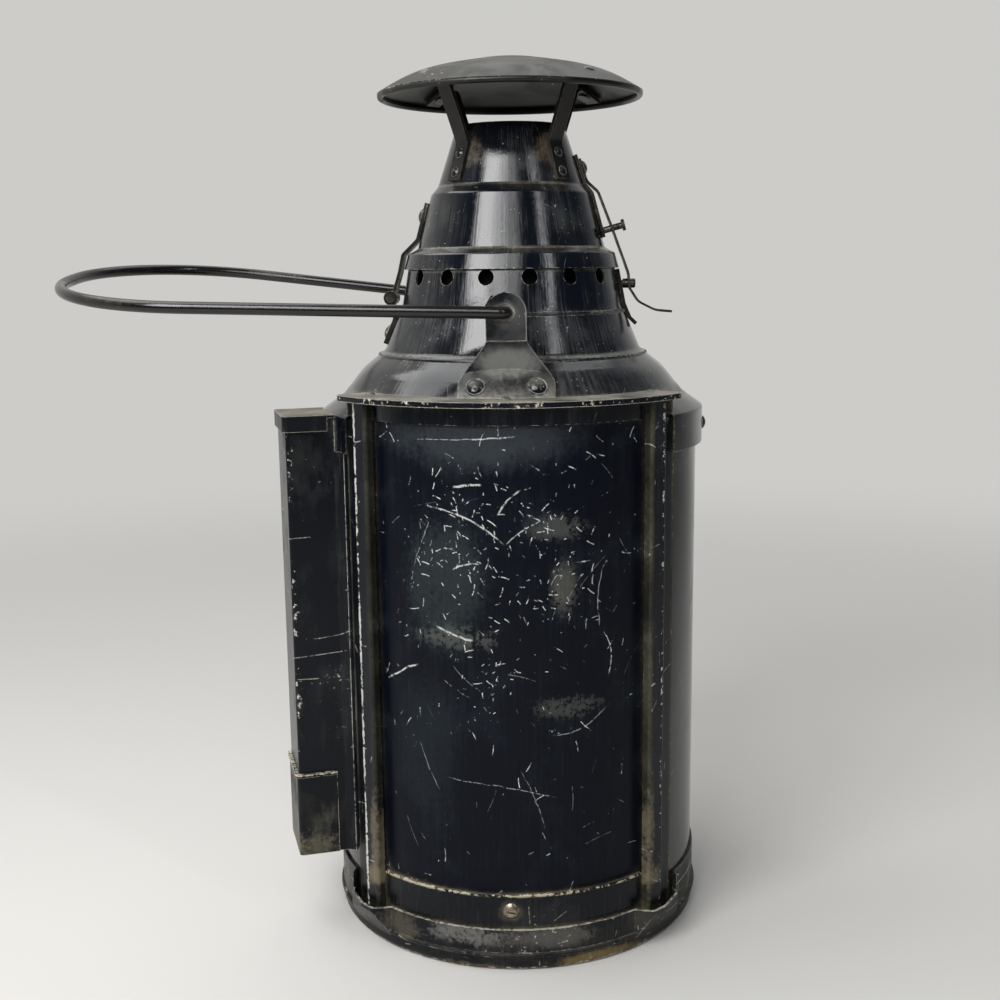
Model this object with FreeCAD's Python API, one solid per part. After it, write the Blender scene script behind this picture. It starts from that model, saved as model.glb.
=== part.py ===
import FreeCAD, Part
import math
import os

# A railway and ship's hand signal lamp that burns oil: a tin drum with a front bay, a rotary
# shutter in front of a stepped lens, a spun dome, a hinged cowl and a wire bail.
# Millimetres. Z is up, the bay faces -Y, the cowl's hinge is at -X and its catch at +X.
# The origin is the centre of the flat base. Bearings are degrees from -Y, positive toward +X.

# ---- Driving dimensions ------------------------------------------------------------------

SHEET = 1.0                 # tinned sheet of the drum and dome
STRAP = 2.0                 # flat bar of the straps and leaves
LAP_GAP = 0.1               # between sheets that lie on each other
RUN_GAP = 0.4               # around pieces that turn or slide loose
PIN_FIT = 0.06              # around pins in their bores
OVER = 20.0                 # how far a cutter reaches past what it cuts

BODY_R = 103.4              # outside of the drum
BODY_TOP = 292.0
WINDOW_HALF = 46.0          # half of the front opening, degrees
WINDOW_BOTTOM = 14.0

PAN_SHEET = 1.2
PAN_RIM = 33.0              # top edge of the pan round the back and sides
PAN_FRONT_RIM = 23.5        # top edge of the pan in front of the bay
PAN_FRONT_HALF = 57.5       # half of the low front stretch, degrees
PAN_CORNER = 3.3
PAN_BEAD_R = 1.3            # swaged bead round the foot of the pan
PAN_BEAD_Z = 9.0
PAN_FIT = 0.2               # between the drum and the pan's wall
POCKET_RISE = 21.9          # height at which a post's pocket reaches its full width
POCKET_OUT = 10.1           # how far a pocket bulges past the drum
# A pocket's outline: how far outside the drum, degrees from the post's middle, bend
POCKET_PLAN = ((-25.0, -7.5, 0), (-1.0, -8.3, 0), (9.8, -3.5, 4), (9.8, 1.5, 5),
               (6.6, 10.0, 6), (-1.0, 14.0, 0), (-25.0, 13.5, 0))

POST_OUT = 4.1              # post's face in front of the drum
POST_BEARING = 46.5         # middle of the post's face, degrees
POST_FACE = 11.6            # width of the post's face
POST_FOOT = 10.0            # width of the post's soldered foot
POST_LIFT = 1.0             # post's foot over the window's bottom edge

LEDGE_TOP = 41.0
LEDGE_LIP = 1.1             # radius of the rolled lip
LEDGE_SCREW_Z = 33.0
LEDGE_SCREW_R = 4.5
BAND_HALF = 50.0            # half of the ledge and header bands, degrees
HEADER_DEPTH = 11.0

FLANGE_RISE = 10.0          # flange's underside over the drum
FLANGE_SHEET = 1.8
FLANGE_OUT = 10.1           # flange's edge in front of the drum
FLANGE_HALF = 54.0          # half of the flange, degrees
FLANGE_LIP = 1.2
FLANGE_ROUND = 6.0
FLANGE_RIVET_IN = 15.0      # from the flange's edge to its rivets
FLANGE_RIVET_HEAD = 2.7
FLANGE_RIVET_SHANK = 1.6
CHEEK_DROP = 3.8            # depth of the cheeks that close the flange's ends
CHEEK_TURN = 0.6            # their thickness, degrees
FLANGE_RIVET_BEARINGS = (-47.0, 0.0, 48.0)

SKIRT_OUT = 3.5             # dome's skirt outside the drum
SKIRT_LAP = 20.0            # skirt's reach below the drum's top
SHOULDER_DROP = 0.7         # skirt's shoulder below the drum's top
SHOULDER_WIDTH = 11.4
SHOULDER_RISE = 8.0
ROLL_WIDTH = 11.5           # convex roll between the shoulder and the flare
ROLL_RISE = 14.5
ROLL_BEND = 30.0
FLARE_WIDTH = 23.6
FLARE_RISE = 23.8
BEAD_R = 1.1
UPPER_WIDTH = 10.3          # taper of the dome above its flare
UPPER_RISE = 24.1
THROAT_TAPER = 4.7
THROAT_RISE = 24.3
AIR_HOLES = 16
AIR_HOLE_R = 4.2
AIR_HOLE_DROP = 8.3         # from the dome's upper edge
BAFFLE_DROP = 20.0          # foot of the draught baffle below the dome's upper edge
BAFFLE_FOOT = 4.0           # height of its soldered foot
BAFFLE_GAP = 4.6            # between the dome and the baffle, behind the air holes
DOME_SCREW_BEARINGS = (85.0, 180.0, 275.0)
DOME_SCREW_RISE = 9.5       # over the skirt's lower edge
DOME_SCREW_SHANK = 1.5

COWL_FIT = 1.35             # between the dome and the cowl's band
COWL_LAP = 3.9              # how far the band reaches over the dome's edge
BAND_RISE = 8.1
BAND_TAPER = 2.3
COWL_STEP = 5.6
COWL_STEP_RISE = 3.0
COWL_WALL_TAPER = 7.9
COWL_WALL_RISE = 29.0
COWL_LEDGE = 3.9
COWL_LEDGE_RISE = 4.5
NECK_TAPER = 8.8
NECK_RISE = 26.6
NECK_LIP = 2.3
NECK_LIP_RISE = 5.6

CAP_RISE = 35.6             # cap's top over the cowl's mouth
CAP_R = 72.6
CAP_DISH_R = 150.0
CAP_CURL_R = 2.1
CAP_RIVET_IN = 6.0          # from a strut's end to its rivet in the cap
CAP_RIVET_SHANK = 2.0

STRUTS = 4
STRUT_WIDTH = 9.5
STRUT_IN = 6.6              # from the cap's edge to a strut's end
STRUT_FOOT = 16.0           # stretch of a strut under the cap
STRUT_KNEE_DROP = 4.8       # knee below the neck's lip
STRUT_TOE_RISE = 2.3        # toe over the cowl's ledge
STRUT_RIVET_DROPS = (21.0, 11.0)
STRUT_RIVET_SHANK = 1.5

EAR_IN = 18.9               # from the skirt to the face of the ear's boss
EAR_THICK = 9.0
EAR_WEB = 5.0
EAR_WIDTH = 49.0
EAR_FOOT = 3.0
BOSS_R = 10.2
EAR_WAIST = 15.0            # where the ear starts to widen, below the pivot
EAR_SPREAD = 34.0           # and where it is full width
EAR_ROUND = 7.0
PIVOT_DROP = 1.2            # bail's pivot below the dome's throat
EAR_RIVET_X = 15.2
EAR_RIVET_DROP = 38.6        # from the pivot down to the rivets
EAR_RIVET_R = 5.2
EAR_RIVET_SHANK = 2.5

WIRE_R = 3.15
BAIL_REACH = 251.0
BAIL_BEND = 89.0
BAIL_HOOK = 3.7             # bends at the ears
BAIL_TAIL = 11.0
BAIL_TAIL_UP = 32.0         # how far the clinched tails turn up, degrees
BAIL_LIFT_FRONT = 1.5       # degrees above level at the front arm
BAIL_LIFT_REAR = 6.75       # and at the rear arm

HINGE_OUT = 7.11            # hinge's pin outside the dome
HINGE_DROP = 15.7           # and below the cowl's edge
HINGE_PIN_R = 1.7
KNUCKLE_R = 4.0
LEAF_WIDTH = 12.0
LEAF_LOWER_DROP = 24.9      # lower end of the lower leaf, below the pin
LEAF_UPPER_DROP = 3.7       # upper end of the upper leaf, below the cowl's ledge
LEAF_RIVET_R = 4.2
RIVET_SHANK = 1.8           # rivets and studs of the straps and leaves

CATCH_WIDTH = 11.0
CATCH_STRAP = 1.6
CATCH_PIVOT_RISE = 9.5      # spring's rivet over the cowl's ledge
SPRING = 1.2
# Spring from its tail up, counted from the keeper's stud: out, up, bend
SPRING_LINE = ((23.0, -15.2, 0), (14.0, -14.4, 12), (4.6, -9.6, 8), (-0.4, -1.8, 6),
               (-0.6, 5.4, 12), (-10.2, 31.4, 60))
KEEPER_STUD_DROP = 8.9      # below the cowl's edge
KEEPER_DROP = 28.4          # lower end of the keeper, below the cowl's edge
STUD_NOSE_R = 2.6

SOCKET_BEARING = -72.0
SOCKET_OUT = 28.3           # socket's face outside the drum
SOCKET_WIDTH = 38.0
SOCKET_SHEET = 1.6
SOCKET_BOTTOM = 43.0
SOCKET_DROP = 2.0           # its walls end below the drum's top
SOCKET_LID_DEPTH = 9.0
SHOE_HEIGHT = 48.0

SHUTTER_GAP = 2.4           # between the drum and the shutter
SHUTTER_SHEET = 1.1
SHUTTER_HALF = 52.0
SHUTTER_HEADROOM = 8.5      # below the flange
SHUTTER_TURN = 100.0        # travel, degrees
HOOP_WIDTH = 2.2
HOOP_DEPTH = 6.5
TRACK_TOP = 23.7
TRACK_LIP = 4.3
LEVER_BEARING = 130.0
LEVER_Z = 150.0
LEVER_WIDTH = 10.0
LEVER_THICK = 3.0
LEVER_OUT = 26.0
KNOB_R = 7.0

LENS_GAP = 6.9              # between the shutter and the crest of the lens
LENS_DEPTH = 16.0           # from the crest to the inner face
LENS_HALF = 50.0
LENS_BOTTOM = 46.0
LENS_HEADROOM = 8.0         # below the drum's top
LENS_BELT = 40.0            # height of the middle step
LENS_STEPS = 7              # steps above and below the middle one
STEP_DEPTH = 7.0
STILE_THICK = 2.5
RAIL_SHEET = 1.2
RAIL_LIP = 4.0

FONT_R = 50.0
FONT_TOP = 78.0
SEAT_SHEET = 1.2
SEAT_TOP = 22.0
BURNER_R = 17.0
BURNER_RISE = 40.0          # over the font
WICK_WIDTH = 16.0
WICK_THICK = 2.2
WICK_RISE = 12.0            # wick above the burner
WICK_WELL = 30.0            # depth of the wick's hole in the font
SPINDLE_R = 1.5
SPINDLE_RISE = 20.0         # over the font
SPINDLE_GAP = 1.2           # between the wick and its spindle
SPINDLE_REACH = 34.0
BUTTON_R = 6.5
FILLER_IN = 17.0            # from the font's wall to the filler's middle
FILLER_R = 8.0
CHIMNEY_R = 21.0
CHIMNEY_BELLY = 27.0
CHIMNEY_GLASS = 1.8
CHIMNEY_RISE = 144.0        # over the burner

Z_AXIS = FreeCAD.Vector(0, 0, 1)
Y_AXIS = FreeCAD.Vector(0, 1, 0)
ORIGIN = FreeCAD.Vector(0, 0, 0)


# ---- Outlines and basic solids -----------------------------------------------------------

def vec(x, y, z):
    return FreeCAD.Vector(x, y, z)


def polar(radius, bearing, z=0.0):
    """Point at a radius and a bearing from the lamp's axis."""
    angle = math.radians(bearing)
    return vec(radius * math.sin(angle), -radius * math.cos(angle), z)


def between(low, high, level):
    """Radius where the line through two (radius, z) corners crosses a level."""
    share = (level - low[1]) / (high[1] - low[1])
    return low[0] + share * (high[0] - low[0])


def rounded_edges(corners):
    """Edges of an open line through (point, radius) corners, each corner rounded."""
    edges = []
    start = corners[0][0]
    for before, corner, after in zip(corners, corners[1:], corners[2:]):
        here, radius = corner
        back = (before[0] - here).normalize()
        ahead = (after[0] - here).normalize()
        half = back.getAngle(ahead) / 2
        if radius < 0.05 or math.cos(half) < 0.001:
            edges.append(Part.makeLine(start, here))
            start = here
            continue
        reach = radius / math.tan(half)
        leave = here + back * reach
        join = here + ahead * reach
        bisector = (back + ahead).normalize()
        middle = here + bisector * (radius / math.sin(half) - radius)
        if start.distanceToPoint(leave) > 1e-6:
            edges.append(Part.makeLine(start, leave))
        edges.append(Part.Arc(leave, middle, join).toShape())
        start = join
    edges.append(Part.makeLine(start, corners[-1][0]))
    return edges


def offset_corners(corners, distance):
    """(u, v, radius) corners of a line that runs a distance to the left of the given one."""
    moved = []
    for index, (u, v, radius) in enumerate(corners):
        normals = []
        turn = 0.0
        for near, far in ((index - 1, index), (index, index + 1)):
            if near < 0 or far >= len(corners):
                continue
            along_u = corners[far][0] - corners[near][0]
            along_v = corners[far][1] - corners[near][1]
            length = math.hypot(along_u, along_v)
            normals.append((-along_v / length, along_u / length))
        mean_u = sum(normal[0] for normal in normals) / len(normals)
        mean_v = sum(normal[1] for normal in normals) / len(normals)
        if len(normals) == 2:
            turn = normals[0][0] * normals[1][1] - normals[0][1] * normals[1][0]
        scale = distance / (mean_u ** 2 + mean_v ** 2)
        bend = radius - distance if turn > 0 else radius + distance
        moved.append((u + mean_u * scale, v + mean_v * scale, max(bend, 0.0) if radius else 0.0))
    return moved


def in_section(corners):
    """Corners (radius, z, bend) as points of the upright plane through the axis."""
    return [(vec(u, 0, v), bend) for u, v, bend in corners]


def in_plan(corners):
    """Corners (x, y, bend) as points of the base plane."""
    return [(vec(u, v, 0), bend) for u, v, bend in corners]


def closed_face(*lines):
    """Face inside lines of edges that are joined end to end with straight edges."""
    wire = []
    for line, following in zip(lines, lines[1:] + lines[:1]):
        wire.extend(line)
        end = line[-1].valueAt(line[-1].LastParameter)
        start = following[0].valueAt(following[0].FirstParameter)
        if end.distanceToPoint(start) > 1e-6:
            wire.append(Part.makeLine(end, start))
    return Part.Face(Part.Wire(Part.__sortEdges__(wire)))


def sheet_face(corners, thickness, place):
    """Face of a bent sheet whose right-hand side follows the corners."""
    outer = rounded_edges(place(corners))
    inner = rounded_edges(place(offset_corners(corners, thickness)))
    back = [reversed_edge(edge) for edge in reversed(inner)]
    return closed_face(outer, back)


def reversed_edge(edge):
    """The same line or arc, drawn from its other end."""
    first = edge.valueAt(edge.FirstParameter)
    last = edge.valueAt(edge.LastParameter)
    middle = edge.valueAt((edge.FirstParameter + edge.LastParameter) / 2)
    if abs((middle - first).cross(last - first).Length) < 1e-9:
        return Part.makeLine(last, first)
    return Part.Arc(last, middle, first).toShape()


def polygon_face(points):
    return Part.Face(Part.makePolygon(points + points[:1]))


def outward(shape):
    """The shape as a plain solid with its skin facing outward."""
    if shape.ShapeType == "Compound" and len(shape.Solids) == 1:
        shape = shape.Solids[0]
    if shape.Volume < 0:
        shape.reverse()
    return shape


def turned_face(face, start=0.0, sweep=360.0):
    """Solid made by turning an upright face about the axis, from a bearing on."""
    solid = outward(face.revolve(ORIGIN, Z_AXIS, sweep))
    solid.rotate(ORIGIN, Z_AXIS, start - 90)
    return solid


def turned(points, start=0.0, sweep=360.0):
    """Solid made by turning (radius, z) points about the axis."""
    return turned_face(polygon_face([vec(r, 0, z) for r, z in points]), start, sweep)


def ring(inner, outer, bottom, top, half=180.0, middle=0.0):
    """Upright ring, or the stretch of one on both sides of a bearing."""
    outline = [(inner, bottom), (outer, bottom), (outer, top), (inner, top)]
    return turned(outline, middle - half, 2 * half)


def turned_sheet(corners, thickness, start=0.0, sweep=360.0):
    """Sheet turned about the axis, with its outside on (radius, z, bend) corners."""
    return turned_face(sheet_face(corners, thickness, in_section), start, sweep)


def bent_strap(corners, thickness, width, bearing):
    """Flat strap bent in an upright plane, with its outside on (radius, z, bend) corners."""
    face = sheet_face(corners, thickness, in_section)
    strap = outward(face.extrude(vec(0, width, 0)))
    strap.translate(vec(0, -width / 2, 0))
    strap.rotate(ORIGIN, Z_AXIS, bearing - 90)
    return strap


def disc(radius, bottom, top):
    return Part.makeCylinder(radius, top - bottom, vec(0, 0, bottom))


def block(x0, x1, y0, y1, z0, z1):
    return Part.makeBox(x1 - x0, y1 - y0, z1 - z0, vec(x0, y0, z0))


def rivet(seat, direction, head_r, shank_r, grip, tail=True):
    """Rivet or screw with its head on a seat, its shank through the grip, and a tail."""
    dome_h = head_r * 0.42
    rim = head_r * 0.12
    tail_r = shank_r * 1.7 if tail else shank_r
    tail_h = 0.8 if tail else 0.0
    sphere_r = (head_r ** 2 + dome_h ** 2) / (2 * dome_h)
    half = math.asin(head_r / sphere_r) / 2
    middle = vec(sphere_r * math.sin(half), 0, rim + dome_h - sphere_r * (1 - math.cos(half)))
    profile = [(0, -grip - tail_h), (tail_r, -grip - tail_h)]
    if tail:
        profile.extend([(tail_r, -grip), (shank_r, -grip)])
    profile.extend([(shank_r, 0), (head_r, 0), (head_r, rim)])
    points = [vec(r, 0, z) for r, z in profile]
    top = vec(0, 0, rim + dome_h)
    lines = [Part.makeLine(a, b) for a, b in zip(points, points[1:])]
    lines.append(Part.Arc(points[-1], middle, top).toShape())
    lines.append(Part.makeLine(top, points[0]))
    shape = outward(Part.Face(Part.Wire(lines)).revolve(ORIGIN, Z_AXIS, 360))
    shape.Placement = FreeCAD.Placement(seat, FreeCAD.Rotation(Z_AXIS, direction))
    return shape


def bore(seat, direction, radius, reach):
    """Cutter for a hole along a direction, reaching both ways from its seat."""
    unit = FreeCAD.Vector(direction).normalize()
    return Part.makeCylinder(radius, 2 * reach, seat - unit * reach, unit)


def swept_wire(corners, radius):
    """Round wire along a line of (point, bend) corners."""
    path = Part.Wire(rounded_edges(corners))
    start = path.Edges[0]
    heading = start.tangentAt(start.FirstParameter)
    section = Part.Wire(Part.makeCircle(radius, start.valueAt(start.FirstParameter), heading))
    return outward(path.makePipeShell([section], True, False))


def mirrored(shape, normal):
    return outward(shape.mirror(ORIGIN, normal))


# ---- Outlines that several pieces share ---------------------------------------------------

PAN_R = BODY_R + PAN_FIT + PAN_SHEET
BODY_BOTTOM = PAN_CORNER - RUN_GAP
BODY_IN = BODY_R - SHEET
POST_BOTTOM = WINDOW_BOTTOM + POST_LIFT
FLANGE_Z = BODY_TOP + FLANGE_RISE
FLANGE_RIVET_R = BODY_R + FLANGE_OUT - FLANGE_RIVET_IN
SKIRT_BOTTOM = BODY_TOP - SKIRT_LAP
SHOULDER_Z = BODY_TOP - SHOULDER_DROP
DOME_SCREW_Z = SKIRT_BOTTOM + DOME_SCREW_RISE
SOCKET_TOP = BODY_TOP - SOCKET_DROP
SHOE_TOP = SOCKET_BOTTOM + SHOE_HEIGHT
BAND_R = BODY_IN - LAP_GAP
SKIRT_R = BODY_R + SKIRT_OUT
FACE_R = BODY_R + POST_OUT
FACE_HALF = math.degrees(POST_FACE / 2 / FACE_R)

DOME_LINE = [
    (SKIRT_R, SKIRT_BOTTOM, 0),
    (SKIRT_R, SHOULDER_Z, 1.6),
    (SKIRT_R - SHOULDER_WIDTH, SHOULDER_Z + SHOULDER_RISE, 8),
    (SKIRT_R - SHOULDER_WIDTH - ROLL_WIDTH, SHOULDER_Z + SHOULDER_RISE + ROLL_RISE, ROLL_BEND),
]
FLARE = (SKIRT_R - SHOULDER_WIDTH - FLARE_WIDTH, SHOULDER_Z + SHOULDER_RISE + FLARE_RISE, 4)
THROAT_FOOT = (FLARE[0] - UPPER_WIDTH, FLARE[1] + UPPER_RISE, 12)
THROAT_LIP = (THROAT_FOOT[0] - THROAT_TAPER, THROAT_FOOT[1] + THROAT_RISE, 0)
DOME_LINE.extend([FLARE, THROAT_FOOT, THROAT_LIP])
DOME_TOP = THROAT_LIP[1]
AIR_HOLE_Z = DOME_TOP - AIR_HOLE_DROP
COWL_EDGE_Z = DOME_TOP - COWL_LAP
COWL_EDGE_R = between(THROAT_FOOT, THROAT_LIP, COWL_EDGE_Z) + COWL_FIT + SHEET

COWL_LINE = [
    (COWL_EDGE_R, COWL_EDGE_Z, 0),
    (COWL_EDGE_R - BAND_TAPER, COWL_EDGE_Z + BAND_RISE, 1.5),
]
COWL_LINE.append((COWL_LINE[1][0] - COWL_STEP, COWL_LINE[1][1] + COWL_STEP_RISE, 1.2))
COWL_LINE.append((COWL_LINE[2][0] - COWL_WALL_TAPER, COWL_LINE[2][1] + COWL_WALL_RISE, 3))
COWL_LINE.append((COWL_LINE[3][0] - COWL_LEDGE, COWL_LINE[3][1] + COWL_LEDGE_RISE, 2))
COWL_LINE.append((COWL_LINE[4][0] - NECK_TAPER, COWL_LINE[4][1] + NECK_RISE, 8))
COWL_LINE.append((COWL_LINE[5][0] - NECK_LIP, COWL_LINE[5][1] + NECK_LIP_RISE, 0))

LEDGE_Z = COWL_LINE[4][1]
NECK_Z = COWL_LINE[5][1]
CAP_TOP = COWL_LINE[6][1] + CAP_RISE
CAP_CENTRE_Z = CAP_TOP - CAP_DISH_R
STRUT_FOOT_OUT = CAP_R - STRUT_IN
STRUT_BEND_OUT = STRUT_FOOT_OUT - STRUT_FOOT
CAP_RIVET_R = STRUT_FOOT_OUT - CAP_RIVET_IN
STRUT_KNEE_Z = NECK_Z - STRUT_KNEE_DROP
STRUT_TOE_Z = LEDGE_Z + STRUT_TOE_RISE

EAR_Y = SKIRT_R - EAR_IN
PIVOT_Z = THROAT_FOOT[1] - PIVOT_DROP
HINGE_Z = COWL_EDGE_Z - HINGE_DROP
HINGE_X = -between(THROAT_FOOT, THROAT_LIP, HINGE_Z) - HINGE_OUT
LEAF_LOWER_Z = HINGE_Z - LEAF_LOWER_DROP
LEAF_UPPER_Z = COWL_LINE[3][1] - LEAF_UPPER_DROP
CATCH_PIVOT_Z = LEDGE_Z + CATCH_PIVOT_RISE
KEEPER_STUD_Z = COWL_EDGE_Z - KEEPER_STUD_DROP
KEEPER_BOTTOM_Z = COWL_EDGE_Z - KEEPER_DROP

SHUTTER_R = BODY_IN - SHUTTER_GAP
SHUTTER_IN = SHUTTER_R - SHUTTER_SHEET
SHUTTER_TOP = FLANGE_Z - SHUTTER_HEADROOM
HOOP_R = SHUTTER_IN - LAP_GAP
TRACK_R = HOOP_R - HOOP_WIDTH - RUN_GAP
HOOP_LOW = TRACK_TOP + 0.3
HOOP_HIGH = SHUTTER_TOP - 2 - HOOP_DEPTH
LENS_R = SHUTTER_IN - LENS_GAP
LENS_BACK_R = LENS_R - LENS_DEPTH
LENS_TOP = BODY_TOP - LENS_HEADROOM

BURNER_TOP = FONT_TOP + BURNER_RISE
CHIMNEY_TOP = BURNER_TOP + CHIMNEY_RISE
SPINDLE_Z = FONT_TOP + SPINDLE_RISE
SPINDLE_Y = -(WICK_THICK / 2 + SPINDLE_GAP + SPINDLE_R)
FILLER_X = FILLER_IN - FONT_R


def line_radius(line, level):
    """Outside radius of a turned line at a level."""
    for low, high in zip(line, line[1:]):
        if low[1] <= level <= high[1] and high[1] > low[1]:
            return between(low, high, level)
    return line[-1][0] if level > line[-1][1] else line[0][0]


def line_normal(line, level, bearing):
    """Direction that points straight out of a turned line at a level and bearing."""
    for low, high in zip(line, line[1:]):
        if low[1] <= level <= high[1] and high[1] > low[1]:
            rise = high[1] - low[1]
            lean = low[0] - high[0]
            out = polar(rise, bearing, lean)
            return out.normalize()
    return polar(1, bearing)


def over_line(line, gap, thickness, bottom, top):
    """Corners of a strap's outside that lies over a turned line between two levels."""
    moved = offset_corners(line, -(gap + thickness))
    inside = [corner for corner in moved if bottom < corner[1] < top]
    first = (line_radius(moved, bottom), bottom, 0)
    last = (line_radius(moved, top), top, 0)
    return [first] + inside + [last]


def plate_over(line, gap, thickness, bottom, top):
    """Section of a plate that lies over a turned line between two levels."""
    outer = over_line(line, gap, thickness, bottom, top)
    inner = over_line(line, gap, 0, bottom, top)
    return [(r, z) for r, z, _ in outer] + [(r, z) for r, z, _ in reversed(inner)]


def on_line(line, level, bearing, lift):
    """Point over a turned line at a level and bearing, lifted straight off it."""
    return polar(line_radius(line, level), bearing, level) + line_normal(line, level, bearing) * lift


def cap_under(radius):
    """Level of the cap's hollow side at a radius."""
    return CAP_CENTRE_Z + math.sqrt((CAP_DISH_R - SHEET) ** 2 - radius ** 2)


# ---- Pan and drum ------------------------------------------------------------------------

def pan_space(wall):
    """Space within the pan's outline, drawn in by a wall."""
    reach = PAN_R - wall
    top = PAN_RIM + wall
    line = [(0, wall, 0), (reach, wall, max(PAN_CORNER - wall, 0.3)), (reach, top, 0), (0, top, 0)]
    space = turned_face(closed_face(rounded_edges(in_section(line))))
    slant = wall * math.hypot(1, POCKET_OUT / POCKET_RISE)
    foot = PAN_R - PAN_CORNER - slant
    full = BODY_R + POCKET_OUT - wall
    funnel = turned([(0, wall), (foot, wall), (full, POCKET_RISE), (full, top), (0, top)])
    plan = [(polar(BODY_R + out, POST_BEARING + turn), bend) for out, turn, bend in POCKET_PLAN]
    corners = [(point.x, point.y, bend) for point, bend in plan]
    pocket_face = closed_face(rounded_edges(in_plan(offset_corners(corners, wall))))
    pocket = pocket_face.extrude(vec(0, 0, top)).common(funnel)
    return outward(space.fuse([pocket, mirrored(pocket, vec(1, 0, 0))]))


def base_pan():
    middle = vec(PAN_R - PAN_SHEET + PAN_BEAD_R, 0, PAN_BEAD_Z)
    foot_bead = turned_face(Part.Face(Part.Wire(Part.makeCircle(PAN_BEAD_R, middle, Y_AXIS))))
    low_front = ring(BODY_R - 2 * OVER, BODY_R + OVER, PAN_FRONT_RIM, PAN_RIM + OVER, PAN_FRONT_HALF)
    pan = pan_space(0).fuse(foot_bead).cut(pan_space(PAN_SHEET)).cut(low_front)
    return outward(pan.removeSplitter())


def body_shell():
    shell = ring(BODY_IN, BODY_R, BODY_BOTTOM, BODY_TOP)
    window = ring(BODY_IN - 5, BODY_R + 5, WINDOW_BOTTOM, BODY_TOP + 5, WINDOW_HALF)
    half_slot = SHUTTER_TURN / 2 + math.degrees((LEVER_WIDTH / 2 + 1.5) / BODY_R)
    middle = LEVER_BEARING + SHUTTER_TURN / 2
    slot = ring(BODY_IN - 5, BODY_R + 5, LEVER_Z - LEVER_THICK / 2 - 1.2,
                LEVER_Z + LEVER_THICK / 2 + 1.2, half_slot, middle)
    return outward(shell.cut([window, slot]))


# ---- Bay ---------------------------------------------------------------------------------

def bay_post():
    """Right post: a strip folded round the edge of the window and soldered to the drum."""
    near = POST_BEARING - FACE_HALF
    far = POST_BEARING + FACE_HALF
    foot_turn = math.degrees(POST_FOOT / 2 / BODY_R)
    foot_r = (BODY_R + LAP_GAP + SHEET) / math.cos(math.radians(foot_turn))
    plan = [
        (polar(BODY_IN, near), 0),
        (polar(FACE_R, near), 0.8 + SHEET),
        (polar(FACE_R, far), 0.8 + SHEET),
        (polar(foot_r, far + 0.6), 0.5),
        (polar(foot_r, far + 0.6 + 2 * foot_turn), 0),
    ]
    corners = [(point.x, point.y, bend) for point, bend in plan]
    post = outward(sheet_face(corners, SHEET, in_plan).extrude(vec(0, 0, FLANGE_Z - POST_BOTTOM)))
    post.translate(vec(0, 0, POST_BOTTOM))
    under_dome = ring(BODY_R - 5, BODY_R + 5, BODY_TOP - 2, FLANGE_Z + 1, 5, far + 6.4)
    return outward(post.cut(under_dome))


def ledge_band():
    band = ring(BAND_R - SHEET, BAND_R, WINDOW_BOTTOM - 4, LEDGE_TOP, BAND_HALF)
    middle = vec(BAND_R - SHEET / 2 + 0.1, 0, LEDGE_TOP + LEDGE_LIP * 0.6)
    section = Part.Face(Part.Wire(Part.makeCircle(LEDGE_LIP, middle, Y_AXIS)))
    lip_half = POST_BEARING - FACE_HALF - 0.7
    lip = turned_face(section, -lip_half, 2 * lip_half)
    hole = bore(polar(BAND_R, 0, LEDGE_SCREW_Z), vec(0, -1, 0), LEDGE_SCREW_R * 0.4 + PIN_FIT, 10)
    return outward(band.fuse(lip).cut(hole).removeSplitter())


def ledge_screw():
    seat = polar(BAND_R, 0, LEDGE_SCREW_Z)
    return rivet(seat, vec(0, -1, 0), LEDGE_SCREW_R, LEDGE_SCREW_R * 0.4, SHEET, tail=False)


def header_band():
    return ring(BAND_R - SHEET, BAND_R, FLANGE_Z - HEADER_DEPTH, FLANGE_Z, BAND_HALF)


def bay_flange():
    """Crescent plate over the bay, with a turned-down lip and a cheek at both ends."""
    outer = BODY_R + FLANGE_OUT
    top = FLANGE_Z + FLANGE_SHEET
    low_in = line_radius(DOME_LINE, FLANGE_Z) + LAP_GAP
    high_in = line_radius(DOME_LINE, top) + LAP_GAP
    section = [(low_in, FLANGE_Z), (outer - 1.2, FLANGE_Z), (outer - 1.2, FLANGE_Z - FLANGE_LIP),
               (outer, FLANGE_Z - FLANGE_LIP), (outer, top), (high_in, top)]
    plate = turned(section, -FLANGE_HALF, 2 * FLANGE_HALF)
    ends = []
    for edge in plate.Edges:
        middle = edge.CenterOfMass
        upright = abs(edge.tangentAt(edge.FirstParameter).z) > 0.99
        if upright and math.hypot(middle.x, middle.y) > outer - 0.01:
            ends.append(edge)
    plate = plate.makeFillet(FLANGE_ROUND, ends)
    holes = [bore(polar(FLANGE_RIVET_R, bearing, top), Z_AXIS, FLANGE_RIVET_SHANK + PIN_FIT, OVER)
             for bearing in FLANGE_RIVET_BEARINGS]
    plate = plate.cut(holes)
    cheek = turned([(low_in + 1, FLANGE_Z), (low_in + 1, FLANGE_Z - CHEEK_DROP),
                    (SHUTTER_R + 0.6, FLANGE_Z - CHEEK_DROP), (SHUTTER_R + 0.6, BODY_TOP + LAP_GAP),
                    (SKIRT_R - SHEET, BODY_TOP + LAP_GAP), (SKIRT_R - SHEET, FLANGE_Z)],
                   FLANGE_HALF - 0.1 - CHEEK_TURN, CHEEK_TURN)
    return outward(plate.fuse([cheek, mirrored(cheek, vec(1, 0, 0))]).removeSplitter())


def flange_rivets():
    top = FLANGE_Z + FLANGE_SHEET
    return [rivet(polar(FLANGE_RIVET_R, bearing, top), Z_AXIS, FLANGE_RIVET_HEAD,
                  FLANGE_RIVET_SHANK, FLANGE_SHEET)
            for bearing in FLANGE_RIVET_BEARINGS]


# ---- Dome and ears -----------------------------------------------------------------------

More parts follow.
